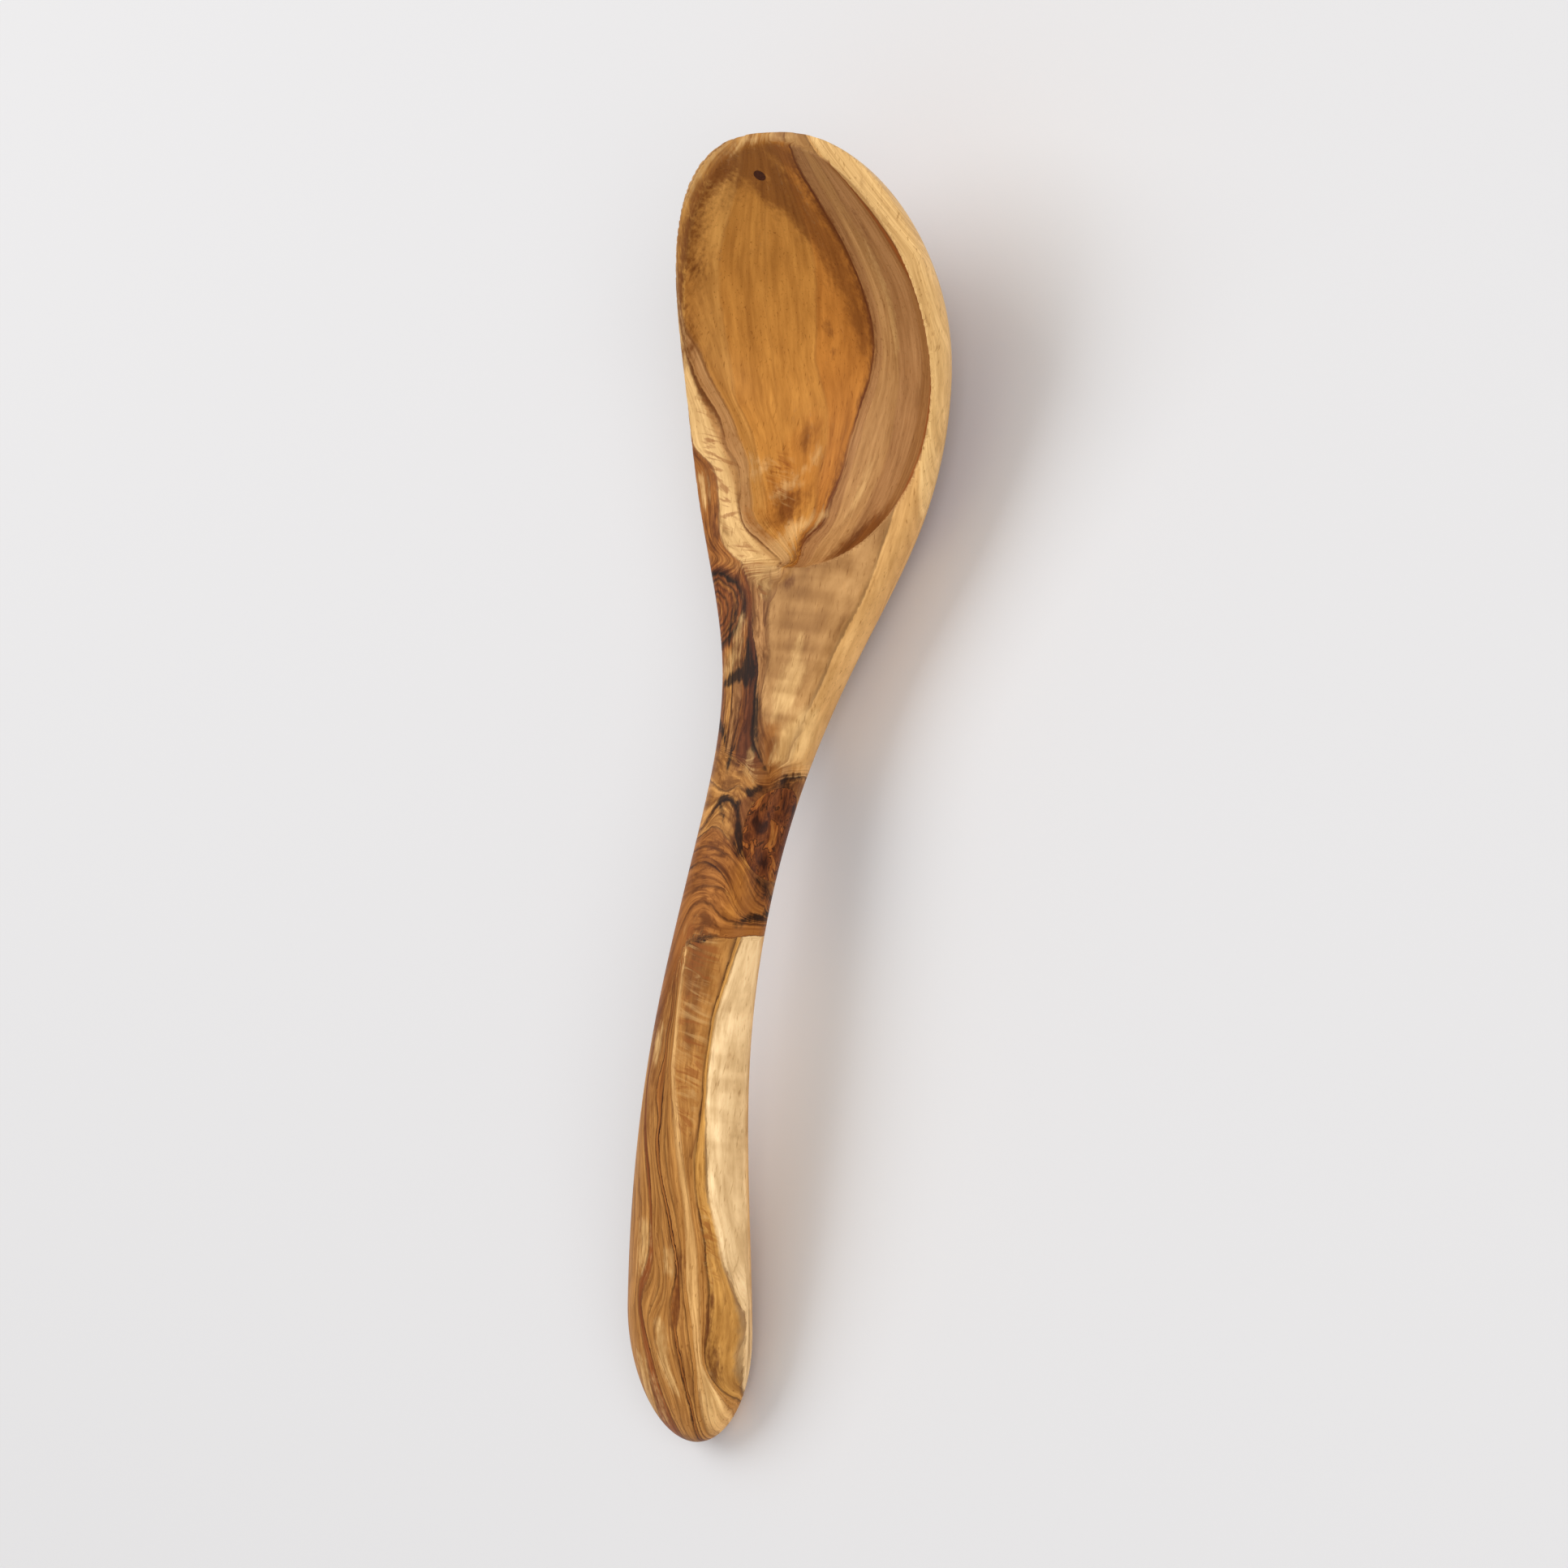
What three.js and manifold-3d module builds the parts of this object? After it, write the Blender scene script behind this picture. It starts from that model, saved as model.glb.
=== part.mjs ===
// A ladle carved from one piece of olive wood, lying as it rests on a table.
// Millimetres, +Z up, +X from the handle's end to the bowl's tip.
// The origin is on the table, under the middle of the ladle's length.
import * as THREE from 'three';
import { mergeVertices } from 'three/addons/utils/BufferGeometryUtils.js';
import Module from 'manifold-3d';

// Distances between the stations of the carving, from the handle's end to the bowl's tip.
// The handle between its grip and its arch takes up what the others leave of the length.
const LADLE_LENGTH = 305;
const END_TO_GRIP = 35;
const ARCH_TO_NECK = 50;
const NECK_TO_HEEL = 40;
const HEEL_TO_REST = 37;
const REST_TO_WIDEST = 42;
const WIDEST_TO_TIP = 41;

// Full widths seen from above
const GRIP_WIDTH = 36.5;
const ARCH_WIDTH = 27.3;
const NECK_WIDTH = 23.4;
const HEEL_WIDTH = 34.4;
const REST_WIDTH = 65.6;
const BOWL_WIDTH = 81;

// Heights of the underside above the table. The end's value lies where the line would run
// if the end weren't rounded off, and the bowl dips by the depth that its flat is sanded away.
const END_UNDERSIDE = -5.1;
const GRIP_UNDERSIDE = 3.6;
const ARCH_UNDERSIDE = 15.5;
const NECK_UNDERSIDE = 13.3;
const HEEL_UNDERSIDE = 3.1;
const FLAT_CUT = 0.7;
const WIDEST_UNDERSIDE = 4.7;
const TIP_UNDERSIDE = 25.4;

// Wood below the edge, where the section is widest
const END_BELLY = 11;
const GRIP_BELLY = 10.3;
const ARCH_BELLY = 8.8;
const NECK_BELLY = 9.5;
const HEEL_BELLY = 16.5;
const REST_BELLY = 20.8;
const WIDEST_BELLY = 25.3;
const TIP_BELLY = 27;

// Wood above the edge
const GRIP_CROWN = 9.2;
const ARCH_CROWN = 8.6;
const NECK_CROWN = 7;
const HEEL_CROWN = 4.2;
const RIM_CROWN = 3;

// Lengths over which the two ends are rounded off, and how blunt the rounding is
const HANDLE_ROUNDING = 30;
const HANDLE_BLUNTNESS = 2;
const TIP_ROUNDING = 50;
const TIP_BLUNTNESS = 2.5;

// Fullness of the sections: 2 is an ellipse, more is squarer
const CROWN_FULLNESS = 2.2;
const BELLY_FULLNESS = 1.9;
const HOLLOW_FULLNESS = 2;

// The hollow of the bowl
const HEEL_TO_HOLLOW = 25;
const HOLLOW_WIDEST_TO_TIP = 49;
const TIP_RIM = 2;
const SIDE_RIM = 2.3;
const FLOOR_WALL = 5;
const HOLLOW_BLUNTNESS = 2.05;
const OVERCUT = 6;

// The knots, and the gap that each keeps to its socket
const NECK_KNOT_FROM_NECK = 2;
const NECK_KNOT_LENGTH = 22;
const NECK_KNOT_HEIGHT = 17;
const NECK_KNOT_DEPTH = 9;
const PIN_KNOT_DIAMETER = 3;
const PIN_KNOT_FROM_TIP = 7.5;
const PIN_KNOT_SIDE = 8.6;
const KNOT_CLEARANCE = 0.3;

// Fineness of the facets
const BODY_RINGS = 68;
const BODY_SIDES = 40;
const HOLLOW_RINGS = 30;
const HOLLOW_SIDES = 22;
const KNOT_SIDES = 20;

const WOOD_COLOUR = 0xb98346;
const KNOT_COLOUR = 0x3b2012;
const OILED_ROUGHNESS = 0.42;

const wasm = await Module();
wasm.setup();

// Natural cubic spline through points with rising x
function spline(xs, ys) {
  const last = xs.length - 1;
  const bend = new Array(last + 1).fill(0);
  const sweep = new Array(last + 1).fill(0);
  for (let i = 1; i < last; i += 1) {
    const before = xs[i] - xs[i - 1];
    const after = xs[i + 1] - xs[i];
    const kink = 6 * ((ys[i + 1] - ys[i]) / after - (ys[i] - ys[i - 1]) / before);
    const pivot = 2 * (before + after) - before * sweep[i - 1];
    sweep[i] = after / pivot;
    bend[i] = (kink - before * bend[i - 1]) / pivot;
  }
  for (let i = last - 1; i > 0; i -= 1) {
    bend[i] -= sweep[i] * bend[i + 1];
  }
  return (x) => {
    let i = 0;
    while (i < last - 1 && x > xs[i + 1]) {
      i += 1;
    }
    const step = xs[i + 1] - xs[i];
    const b = (x - xs[i]) / step;
    const a = 1 - b;
    const curve = (a ** 3 - a) * bend[i] + (b ** 3 - b) * bend[i + 1];
    return a * ys[i] + b * ys[i + 1] + (curve * step * step) / 6;
  };
}

// Rises from 0 at an end to 1 at the given distance from it, with a round shoulder
function rounding(distance, length, bluntness) {
  const short = THREE.MathUtils.clamp(1 - distance / length, 0, 1);
  return (1 - short ** bluntness) ** (1 / bluntness);
}

function signedPower(value, exponent) {
  return Math.sign(value) * Math.abs(value) ** exponent;
}

// The carving's lines
const gripAt = END_TO_GRIP;
const widestAt = LADLE_LENGTH - WIDEST_TO_TIP;
const restAt = widestAt - REST_TO_WIDEST;
const heelAt = restAt - HEEL_TO_REST;
const neckAt = heelAt - NECK_TO_HEEL;
const archAt = neckAt - ARCH_TO_NECK;

const stations = [
  { at: 0, width: GRIP_WIDTH, underside: END_UNDERSIDE, belly: END_BELLY, crown: GRIP_CROWN },
  { at: gripAt, width: GRIP_WIDTH, underside: GRIP_UNDERSIDE, belly: GRIP_BELLY, crown: GRIP_CROWN },
  { at: archAt, width: ARCH_WIDTH, underside: ARCH_UNDERSIDE, belly: ARCH_BELLY, crown: ARCH_CROWN },
  { at: neckAt, width: NECK_WIDTH, underside: NECK_UNDERSIDE, belly: NECK_BELLY, crown: NECK_CROWN },
  { at: heelAt, width: HEEL_WIDTH, underside: HEEL_UNDERSIDE, belly: HEEL_BELLY, crown: HEEL_CROWN },
  { at: restAt, width: REST_WIDTH, underside: -FLAT_CUT, belly: REST_BELLY, crown: RIM_CROWN },
  { at: widestAt, width: BOWL_WIDTH, underside: WIDEST_UNDERSIDE, belly: WIDEST_BELLY, crown: RIM_CROWN },
  { at: LADLE_LENGTH, width: BOWL_WIDTH, underside: TIP_UNDERSIDE, belly: TIP_BELLY, crown: RIM_CROWN },
];

function line(field) {
  return spline(stations.map((station) => station.at), stations.map((station) => station[field]));
}

const widthLine = line('width');
const undersideLine = line('underside');
const bellyLine = line('belly');
const crownLine = line('crown');

// Half width, edge height, crown and belly of the uncut blank at a distance from the handle's end
function blankSection(x) {
  const atHandle = rounding(x, HANDLE_ROUNDING, HANDLE_BLUNTNESS);
  const atTip = rounding(LADLE_LENGTH - x, TIP_ROUNDING, TIP_BLUNTNESS);
  const round = atHandle * atTip;
  return {
    half: (widthLine(x) / 2) * round,
    edge: undersideLine(x) + bellyLine(x),
    crown: crownLine(x) * round,
    belly: bellyLine(x) * round,
  };
}

const hollowStart = heelAt + HEEL_TO_HOLLOW;
const hollowWidestAt = LADLE_LENGTH - HOLLOW_WIDEST_TO_TIP;
const hollowEnd = LADLE_LENGTH - TIP_RIM;
const hollowHalf = BOWL_WIDTH / 2 - SIDE_RIM;

// Half width, top and depth of the hollow at a distance from the handle's end
function hollowSection(x) {
  const heelSide = x < hollowWidestAt;
  const reach = heelSide ? hollowWidestAt - hollowStart : hollowEnd - hollowWidestAt;
  const fromEnd = heelSide ? x - hollowStart : hollowEnd - x;
  const round = rounding(fromEnd, reach, HOLLOW_BLUNTNESS);
  const blank = blankSection(x);
  return {
    half: hollowHalf * round,
    top: blank.edge + crownLine(x),
    depth: (blank.belly + crownLine(x) - FLOOR_WALL) * round,
    overcut: OVERCUT * round,
  };
}

// Height of the hollow's surface at a place seen from above
function hollowHeight(x, y) {
  const { half, top, depth } = hollowSection(x);
  const share = Math.min(Math.abs(y) / half, 1);
  return top - depth * (1 - share ** HOLLOW_FULLNESS) ** (1 / HOLLOW_FULLNESS);
}

// Distances between two ends, closer together towards both
function cosineSteps(start, end, count) {
  const steps = [];
  for (let i = 1; i < count; i += 1) {
    steps.push(start + ((end - start) * (1 - Math.cos((Math.PI * i) / count))) / 2);
  }
  return steps;
}

function blankRing(x) {
  const { half, edge, crown, belly } = blankSection(x);
  const ring = [];
  for (let i = 0; i < BODY_SIDES; i += 1) {
    const angle = (2 * Math.PI * i) / BODY_SIDES;
    const above = Math.sin(angle) >= 0;
    const exponent = 2 / (above ? CROWN_FULLNESS : BELLY_FULLNESS);
    const y = half * signedPower(Math.cos(angle), exponent);
    const z = edge + (above ? crown : belly) * signedPower(Math.sin(angle), exponent);
    ring.push(new THREE.Vector3(x, y, z));
  }
  return ring;
}

function hollowRing(x) {
  const { half, top, depth, overcut } = hollowSection(x);
  const exponent = 2 / HOLLOW_FULLNESS;
  const ring = [];
  for (let i = 0; i <= HOLLOW_SIDES; i += 1) {
    const angle = Math.PI * (1 + i / HOLLOW_SIDES);
    const y = half * signedPower(Math.cos(angle), exponent);
    const z = top + depth * signedPower(Math.sin(angle), exponent);
    ring.push(new THREE.Vector3(x, y, z));
  }
  ring.push(new THREE.Vector3(x, half, top + overcut));
  ring.push(new THREE.Vector3(x, -half, top + overcut));
  return ring;
}

// Closed skin over rings along X, drawn to a point at both ends
function loft(start, rings, end) {
  const sides = rings[0].length;
  const points = [start, ...rings.flat(), end];
  const corner = (ring, side) => 1 + ring * sides + (side % sides);
  const lastPoint = points.length - 1;
  const lastRing = rings.length - 1;
  const faces = [];
  for (let side = 0; side < sides; side += 1) {
    faces.push(0, corner(0, side + 1), corner(0, side));
    faces.push(lastPoint, corner(lastRing, side), corner(lastRing, side + 1));
    for (let ring = 0; ring < lastRing; ring += 1) {
      faces.push(corner(ring, side), corner(ring, side + 1), corner(ring + 1, side));
      faces.push(corner(ring, side + 1), corner(ring + 1, side + 1), corner(ring + 1, side));
    }
  }
  const geometry = new THREE.BufferGeometry().setFromPoints(points);
  geometry.setIndex(faces);
  return geometry;
}

function toSolid(geometry) {
  geometry.deleteAttribute('normal');
  geometry.deleteAttribute('uv');
  const merged = mergeVertices(geometry);
  const vertProperties = new Float32Array(merged.attributes.position.array);
  const triVerts = new Uint32Array(merged.index.array);
  return new wasm.Manifold(new wasm.Mesh({ numProp: 3, vertProperties, triVerts }));
}

function toGeometry(solid) {
  const mesh = solid.getMesh();
  const geometry = new THREE.BufferGeometry();
  geometry.setAttribute('position', new THREE.BufferAttribute(mesh.vertProperties, mesh.numProp));
  geometry.setIndex(new THREE.BufferAttribute(mesh.triVerts, 1));
  geometry.computeVertexNormals();
  return geometry;
}

function blankSolid() {
  const start = new THREE.Vector3(0, 0, blankSection(0).edge);
  const end = new THREE.Vector3(LADLE_LENGTH, 0, blankSection(LADLE_LENGTH).edge);
  const rings = cosineSteps(0, LADLE_LENGTH, BODY_RINGS).map(blankRing);
  return toSolid(loft(start, rings, end));
}

function hollowSolid() {
  const start = new THREE.Vector3(hollowStart, 0, hollowSection(hollowStart).top);
  const end = new THREE.Vector3(hollowEnd, 0, hollowSection(hollowEnd).top);
  const rings = cosineSteps(hollowStart, hollowEnd, HOLLOW_RINGS).map(hollowRing);
  return toSolid(loft(start, rings, end));
}

// Everything below the table, which leaves the flat that the bowl rests on
function tableSolid() {
  const depth = REST_BELLY;
  const table = new THREE.BoxGeometry(2 * LADLE_LENGTH, 2 * BOWL_WIDTH, depth);
  table.translate(LADLE_LENGTH / 2, 0, -depth / 2);
  return toSolid(table);
}

function ellipsoidSolid(centre, radii, clearance) {
  const ball = new THREE.SphereGeometry(1, KNOT_SIDES, KNOT_SIDES / 2);
  ball.scale(radii.x + clearance, radii.y + clearance, radii.z + clearance);
  ball.translate(centre.x, centre.y, centre.z);
  return toSolid(ball);
}

// The neck's knot breaks the surface on the ladle's right-hand side
const neckKnotAt = neckAt + NECK_KNOT_FROM_NECK;
const neckKnotSection = blankSection(neckKnotAt);
const neckKnotCentre = new THREE.Vector3(neckKnotAt, -neckKnotSection.half, neckKnotSection.edge);
const neckKnotRadii = new THREE.Vector3(NECK_KNOT_LENGTH / 2, NECK_KNOT_DEPTH, NECK_KNOT_HEIGHT / 2);

// The pin knot breaks the surface inside the bowl, just below the tip
const pinKnotAt = LADLE_LENGTH - PIN_KNOT_FROM_TIP;
const pinKnotCentre = new THREE.Vector3(pinKnotAt, PIN_KNOT_SIDE, hollowHeight(pinKnotAt, PIN_KNOT_SIDE));
const pinKnotRadii = new THREE.Vector3().setScalar(PIN_KNOT_DIAMETER / 2);

const carved = blankSolid().subtract(hollowSolid()).subtract(tableSolid());
const neckSocket = ellipsoidSolid(neckKnotCentre, neckKnotRadii, KNOT_CLEARANCE);
const pinSocket = ellipsoidSolid(pinKnotCentre, pinKnotRadii, KNOT_CLEARANCE);
const body = carved.subtract(neckSocket).subtract(pinSocket);
const neckKnot = carved.intersect(ellipsoidSolid(neckKnotCentre, neckKnotRadii, 0));
const pinKnot = carved.intersect(ellipsoidSolid(pinKnotCentre, pinKnotRadii, 0));

function piece(name, solid, color) {
  const material = new THREE.MeshStandardMaterial({ color, roughness: OILED_ROUGHNESS, metalness: 0 });
  const mesh = new THREE.Mesh(toGeometry(solid), material);
  mesh.name = name;
  return mesh;
}

const ladle = new THREE.Group();
ladle.add(piece('ladle_body', body, WOOD_COLOUR));
ladle.add(piece('neck_knot', neckKnot, KNOT_COLOUR));
ladle.add(piece('bowl_pin_knot', pinKnot, KNOT_COLOUR));
ladle.position.x = -LADLE_LENGTH / 2;

export default ladle;
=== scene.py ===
# A ladle carved from one piece of olive wood, with two dark knots, lying on a pale floor.
# The scene is in metres. The carving's own lines are in millimetres, along X from the handle's end.
import math

import bmesh
import bpy
import numpy as np
from mathutils import Matrix, Vector


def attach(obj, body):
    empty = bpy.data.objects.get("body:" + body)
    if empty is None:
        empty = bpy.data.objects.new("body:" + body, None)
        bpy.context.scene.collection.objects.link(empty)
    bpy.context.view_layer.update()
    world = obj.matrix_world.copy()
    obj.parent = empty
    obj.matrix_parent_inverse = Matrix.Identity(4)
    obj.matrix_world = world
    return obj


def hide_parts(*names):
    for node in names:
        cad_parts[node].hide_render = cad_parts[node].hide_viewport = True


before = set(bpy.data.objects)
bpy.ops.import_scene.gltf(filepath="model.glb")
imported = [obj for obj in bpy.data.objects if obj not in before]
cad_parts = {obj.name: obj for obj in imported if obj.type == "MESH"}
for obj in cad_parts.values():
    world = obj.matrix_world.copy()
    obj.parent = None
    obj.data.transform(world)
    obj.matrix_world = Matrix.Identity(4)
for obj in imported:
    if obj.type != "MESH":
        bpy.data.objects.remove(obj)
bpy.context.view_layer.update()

MILLIMETRE = 0.001

# The carving: place along the ladle, full width, underside, belly below the edge, crown above it
LENGTH = 305.0
STATIONS = np.array([
    (0, 36.5, -5.1, 11, 9.2),
    (35, 36.5, 3.6, 10.3, 9.2),
    (95, 27.3, 15.5, 8.8, 8.6),
    (145, 23.4, 13.3, 9.5, 7),
    (185, 34.4, 3.1, 16.5, 4.2),
    (222, 65.6, -0.7, 20.8, 3),
    (264, 81, 4.7, 25.3, 3),
    (LENGTH, 81, 25.4, 27, 3),
])
HANDLE_ROUNDING = 30.0
HANDLE_BLUNTNESS = 2.0
TIP_ROUNDING = 50.0
TIP_BLUNTNESS = 2.5
CROWN_FULLNESS = 2.2
BELLY_FULLNESS = 1.9

# The hollow of the bowl
HOLLOW_START = 210.0
HOLLOW_WIDEST = 256.0
HOLLOW_END = 303.0
HOLLOW_HALF = 38.2
HOLLOW_BLUNTNESS = 2.05
FLOOR_WALL = 5.0

# Edges worn round. The left heel's broad shoulder comes in across its side and goes out towards its end.
RIM_SOFTNESS = 1.4
FLAT_SOFTNESS = 0.5
LEFT_HEEL_SOFTNESS = 12.0
LEFT_HEEL_NARROWING = 0.28
LEFT_HEEL_SIDE = (-5, 9)
LEFT_HEEL_END = (228, 262)

# The skin: the box that it is looked for in, its fineness, and how its points settle on the surface
SKIN_LOW = (-1.6, -42.0, -1.3)
SKIN_HIGH = (306.4, 42.0, 54.5)
SKIN_STEP = 0.8
SETTLING_PASSES = 5
SLOPE_REACH = 0.04
LEAST_SLOPE_SQUARED = 0.04
LONGEST_MOVE = 0.5
SHARP_ANGLE = math.radians(35)

# The knots. A window is how far up its range of tones a knot goes, and 1 is all the way.
NECK_KNOT_AT = 147.0
NECK_KNOT_RADII = (11.0, 9.0, 8.5)
NECK_KNOT_SWELL = 0.02
PIN_KNOT_AT = (297.5, 8.6)
PIN_KNOT_RADIUS = 1.5
KNOT_GAP = 0.05
KNOT_SEGMENTS = (72, 48)
KNOT_WINDOWS = {"neck_knot": 1.0, "bowl_pin_knot": 0.4}

# Waves around an uneven knot: height as a share of the swell, number and turn
KNOT_WAVES = [(1.0, 3, 0.6), (0.6, 5, 2.1)]

# Least values that keep divisions safe
LEAST_ROUNDING = 1e-4
TINY = 1e-9


def spline(xs, ys):
    """Natural cubic spline through points with rising x."""
    steps = np.diff(xs)
    count = len(xs)
    system = np.eye(count)
    kinks = np.zeros(count)
    for i in range(1, count - 1):
        system[i, i - 1:i + 2] = steps[i - 1], 2 * (steps[i - 1] + steps[i]), steps[i]
        kinks[i] = 6 * ((ys[i + 1] - ys[i]) / steps[i] - (ys[i] - ys[i - 1]) / steps[i - 1])
    bend = np.linalg.solve(system, kinks)

    def at(x):
        i = np.clip(np.searchsorted(xs, x) - 1, 0, count - 2)
        b = (x - xs[i]) / steps[i]
        a = 1 - b
        curve = (a ** 3 - a) * bend[i] + (b ** 3 - b) * bend[i + 1]
        return a * ys[i] + b * ys[i + 1] + curve * steps[i] ** 2 / 6

    return at


width_line, underside_line, belly_line, crown_line = (
    spline(STATIONS[:, 0], STATIONS[:, column]) for column in range(1, 5)
)


def rounding(distance, length, bluntness):
    """Rises from 0 at an end to 1 at the given distance from it, with a round shoulder."""
    short = np.clip(1 - distance / length, 0, 1)
    return (1 - short ** bluntness) ** (1 / bluntness)


def blank_section(x):
    """Half width, edge height, crown and belly of the uncut blank."""
    x = np.clip(x, 0, LENGTH)
    round_off = rounding(x, HANDLE_ROUNDING, HANDLE_BLUNTNESS)
    round_off = np.maximum(round_off * rounding(LENGTH - x, TIP_ROUNDING, TIP_BLUNTNESS), LEAST_ROUNDING)
    belly = belly_line(x)
    edge = underside_line(x) + belly
    return width_line(x) / 2 * round_off, edge, crown_line(x) * round_off, belly * round_off


def hollow_section(x):
    """Half width, top and depth of the hollow."""
    x = np.clip(x, HOLLOW_START, HOLLOW_END)
    at_heel = rounding(x - HOLLOW_START, HOLLOW_WIDEST - HOLLOW_START, HOLLOW_BLUNTNESS)
    at_tip = rounding(HOLLOW_END - x, HOLLOW_END - HOLLOW_WIDEST, HOLLOW_BLUNTNESS)
    round_off = np.maximum(np.where(x < HOLLOW_WIDEST, at_heel, at_tip), LEAST_ROUNDING)
    _, edge, _, belly = blank_section(x)
    crown = crown_line(x)
    return HOLLOW_HALF * round_off, edge + crown, (belly + crown - FLOOR_WALL) * round_off


def top_height(x, y):
    """Height of the surface seen from above, before its edges are worn round."""
    half, edge, crown, _ = blank_section(x)
    share = np.clip(np.abs(y) / half, 0, 1)
    height = edge + crown * (1 - share ** CROWN_FULLNESS) ** (1 / CROWN_FULLNESS)
    half, top, depth = hollow_section(x)
    share = np.abs(y) / half
    inside = (share < 1) & (x > HOLLOW_START) & (x < HOLLOW_END)
    floor = top - depth * np.sqrt(np.clip(1 - share ** 2, 0, 1))
    return np.where(inside, np.minimum(height, floor), height)


def smooth_step(low, high, value):
    """Rises smoothly from 0 at the low value to 1 at the high one."""
    share = np.clip((value - low) / (high - low), 0, 1)
    return share * share * (3 - 2 * share)


def left_heel(x, y):
    """1 where the hollow's rim is a broad round shoulder, on the left towards the heel."""
    return smooth_step(*LEFT_HEEL_SIDE, y) * (1 - smooth_step(*LEFT_HEEL_END, x))


def smooth_max(a, b, softness):
    """The greater of two values, with the edge between them rounded."""
    overlap = np.clip(softness - np.abs(a - b), 0, None) / softness
    return np.maximum(a, b) + overlap ** 2 * softness / 4


def carving(x, y, z):
    """Below 0 in the wood and above 0 in the air, in millimetres near the surface."""
    half, edge, crown, belly = blank_section(x)
    rise = z - edge
    above = rise > 0
    fullness = np.where(above, CROWN_FULLNESS, BELLY_FULLNESS)
    across = np.abs(y) / half
    up = np.abs(rise) / np.where(above, crown, belly)
    level = (across ** fullness + up ** fullness) ** (1 / fullness) + TINY
    blank = np.hypot(y, rise) * (1 - 1 / level)
    blank = np.maximum(blank, np.maximum(-x, x - LENGTH))

    half, top, depth = hollow_section(x)
    shoulder = left_heel(x, y)
    half = half * (1 - LEFT_HEEL_NARROWING * shoulder)
    drop = np.clip(top - z, 0, None)
    level = np.hypot(y / half, drop / depth) + TINY
    hollow = np.hypot(y, drop) * (1 - 1 / level)
    hollow = np.maximum(hollow, np.maximum(HOLLOW_START - x, x - HOLLOW_END))

    wood = smooth_max(blank, -hollow, RIM_SOFTNESS + LEFT_HEEL_SOFTNESS * shoulder)
    return smooth_max(wood, -z, FLAT_SOFTNESS)


def crossed_cells(value, cells):
    """Which cells the surface crosses, and the middle of its crossings with each one's edges."""
    corners = [(i, j, k) for i in (0, 1) for j in (0, 1) for k in (0, 1)]
    samples = {c: value[tuple(slice(s, s + n) for s, n in zip(c, cells))] for c in corners}
    filled = sum((sample < 0).astype(np.int8) for sample in samples.values())
    crossed = (filled > 0) & (filled < len(corners))
    samples = {corner: sample[crossed] for corner, sample in samples.items()}
    total = np.zeros((crossed.sum(), 3))
    count = np.zeros(len(total))
    for start in corners:
        for axis in range(3):
            if start[axis]:
                continue
            end = tuple(c + (i == axis) for i, c in enumerate(start))
            a, b = samples[start], samples[end]
            cut = (a < 0) != (b < 0)
            share = np.where(cut, a / np.where(cut, a - b, 1), 0)
            total[cut] += np.array(start)
            total[cut, axis] += share[cut]
            count[cut] += 1
    return crossed, total / count[:, None]


def joining_quads(inside, index):
    """A quad around each edge of the grid that the surface crosses, facing out of the wood."""
    quads = []
    for axis in range(3):
        first = np.moveaxis(inside, axis, 0)
        lower, upper = first[:-1], first[1:]
        edges = np.argwhere(lower != upper)
        leaves = lower[tuple(edges.T)]
        loop = np.moveaxis(index, (axis, (axis + 1) % 3, (axis + 2) % 3), (0, 1, 2))
        if axis == 1:
            edges = edges[:, [0, 2, 1]]
        a, b, c = edges.T
        ring = np.stack([loop[a, b - 1, c - 1], loop[a, b, c - 1], loop[a, b, c], loop[a, b - 1, c]], 1)
        ring[~leaves] = ring[~leaves][:, ::-1]
        quads.append(ring)
    return np.concatenate(quads)


def skin():
    """Points and quads over the carving: one point in each cell that the surface crosses."""
    axes = [np.arange(low, high + SKIN_STEP, SKIN_STEP) for low, high in zip(SKIN_LOW, SKIN_HIGH)]
    value = carving(axes[0][:, None, None], axes[1][None, :, None], axes[2][None, None, :])
    cells = tuple(n - 1 for n in value.shape)
    crossed, middle = crossed_cells(value, cells)
    points = np.array(SKIN_LOW) + SKIN_STEP * (np.argwhere(crossed) + middle)
    index = np.full(cells, -1)
    index[crossed] = np.arange(len(points))
    return points, joining_quads(value < 0, index)


def settle(points):
    """Moves points along the slope onto the surface."""
    for _ in range(SETTLING_PASSES):
        value = carving(*points.T)
        slope = np.empty_like(points)
        for axis in range(3):
            ahead, behind = points.copy(), points.copy()
            ahead[:, axis] += SLOPE_REACH
            behind[:, axis] -= SLOPE_REACH
            slope[:, axis] = (carving(*ahead.T) - carving(*behind.T)) / (2 * SLOPE_REACH)
        steep = np.maximum((slope ** 2).sum(1), LEAST_SLOPE_SQUARED)
        points = points - np.clip(value / steep, -LONGEST_MOVE, LONGEST_MOVE)[:, None] * slope
    return points


def to_scene(points):
    """From the carving's millimetres to metres around the ladle's middle."""
    return (np.asarray(points, float) - (LENGTH / 2, 0, 0)) * MILLIMETRE


def to_carving(points):
    """From the scene's metres back to the carving's millimetres."""
    return np.asarray(points, float) / MILLIMETRE + (LENGTH / 2, 0, 0)


def new_object(name, mesh):
    piece = bpy.data.objects.new(name, mesh)
    bpy.context.collection.objects.link(piece)
    return piece


def carved_object():
    """The whole carving, before the knots' sockets are cut."""
    points, quads = skin()
    mesh = bpy.data.meshes.new("carving")
    mesh.from_pydata(to_scene(settle(points)).tolist(), [], quads.tolist())
    return new_object("carving", mesh)


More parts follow.
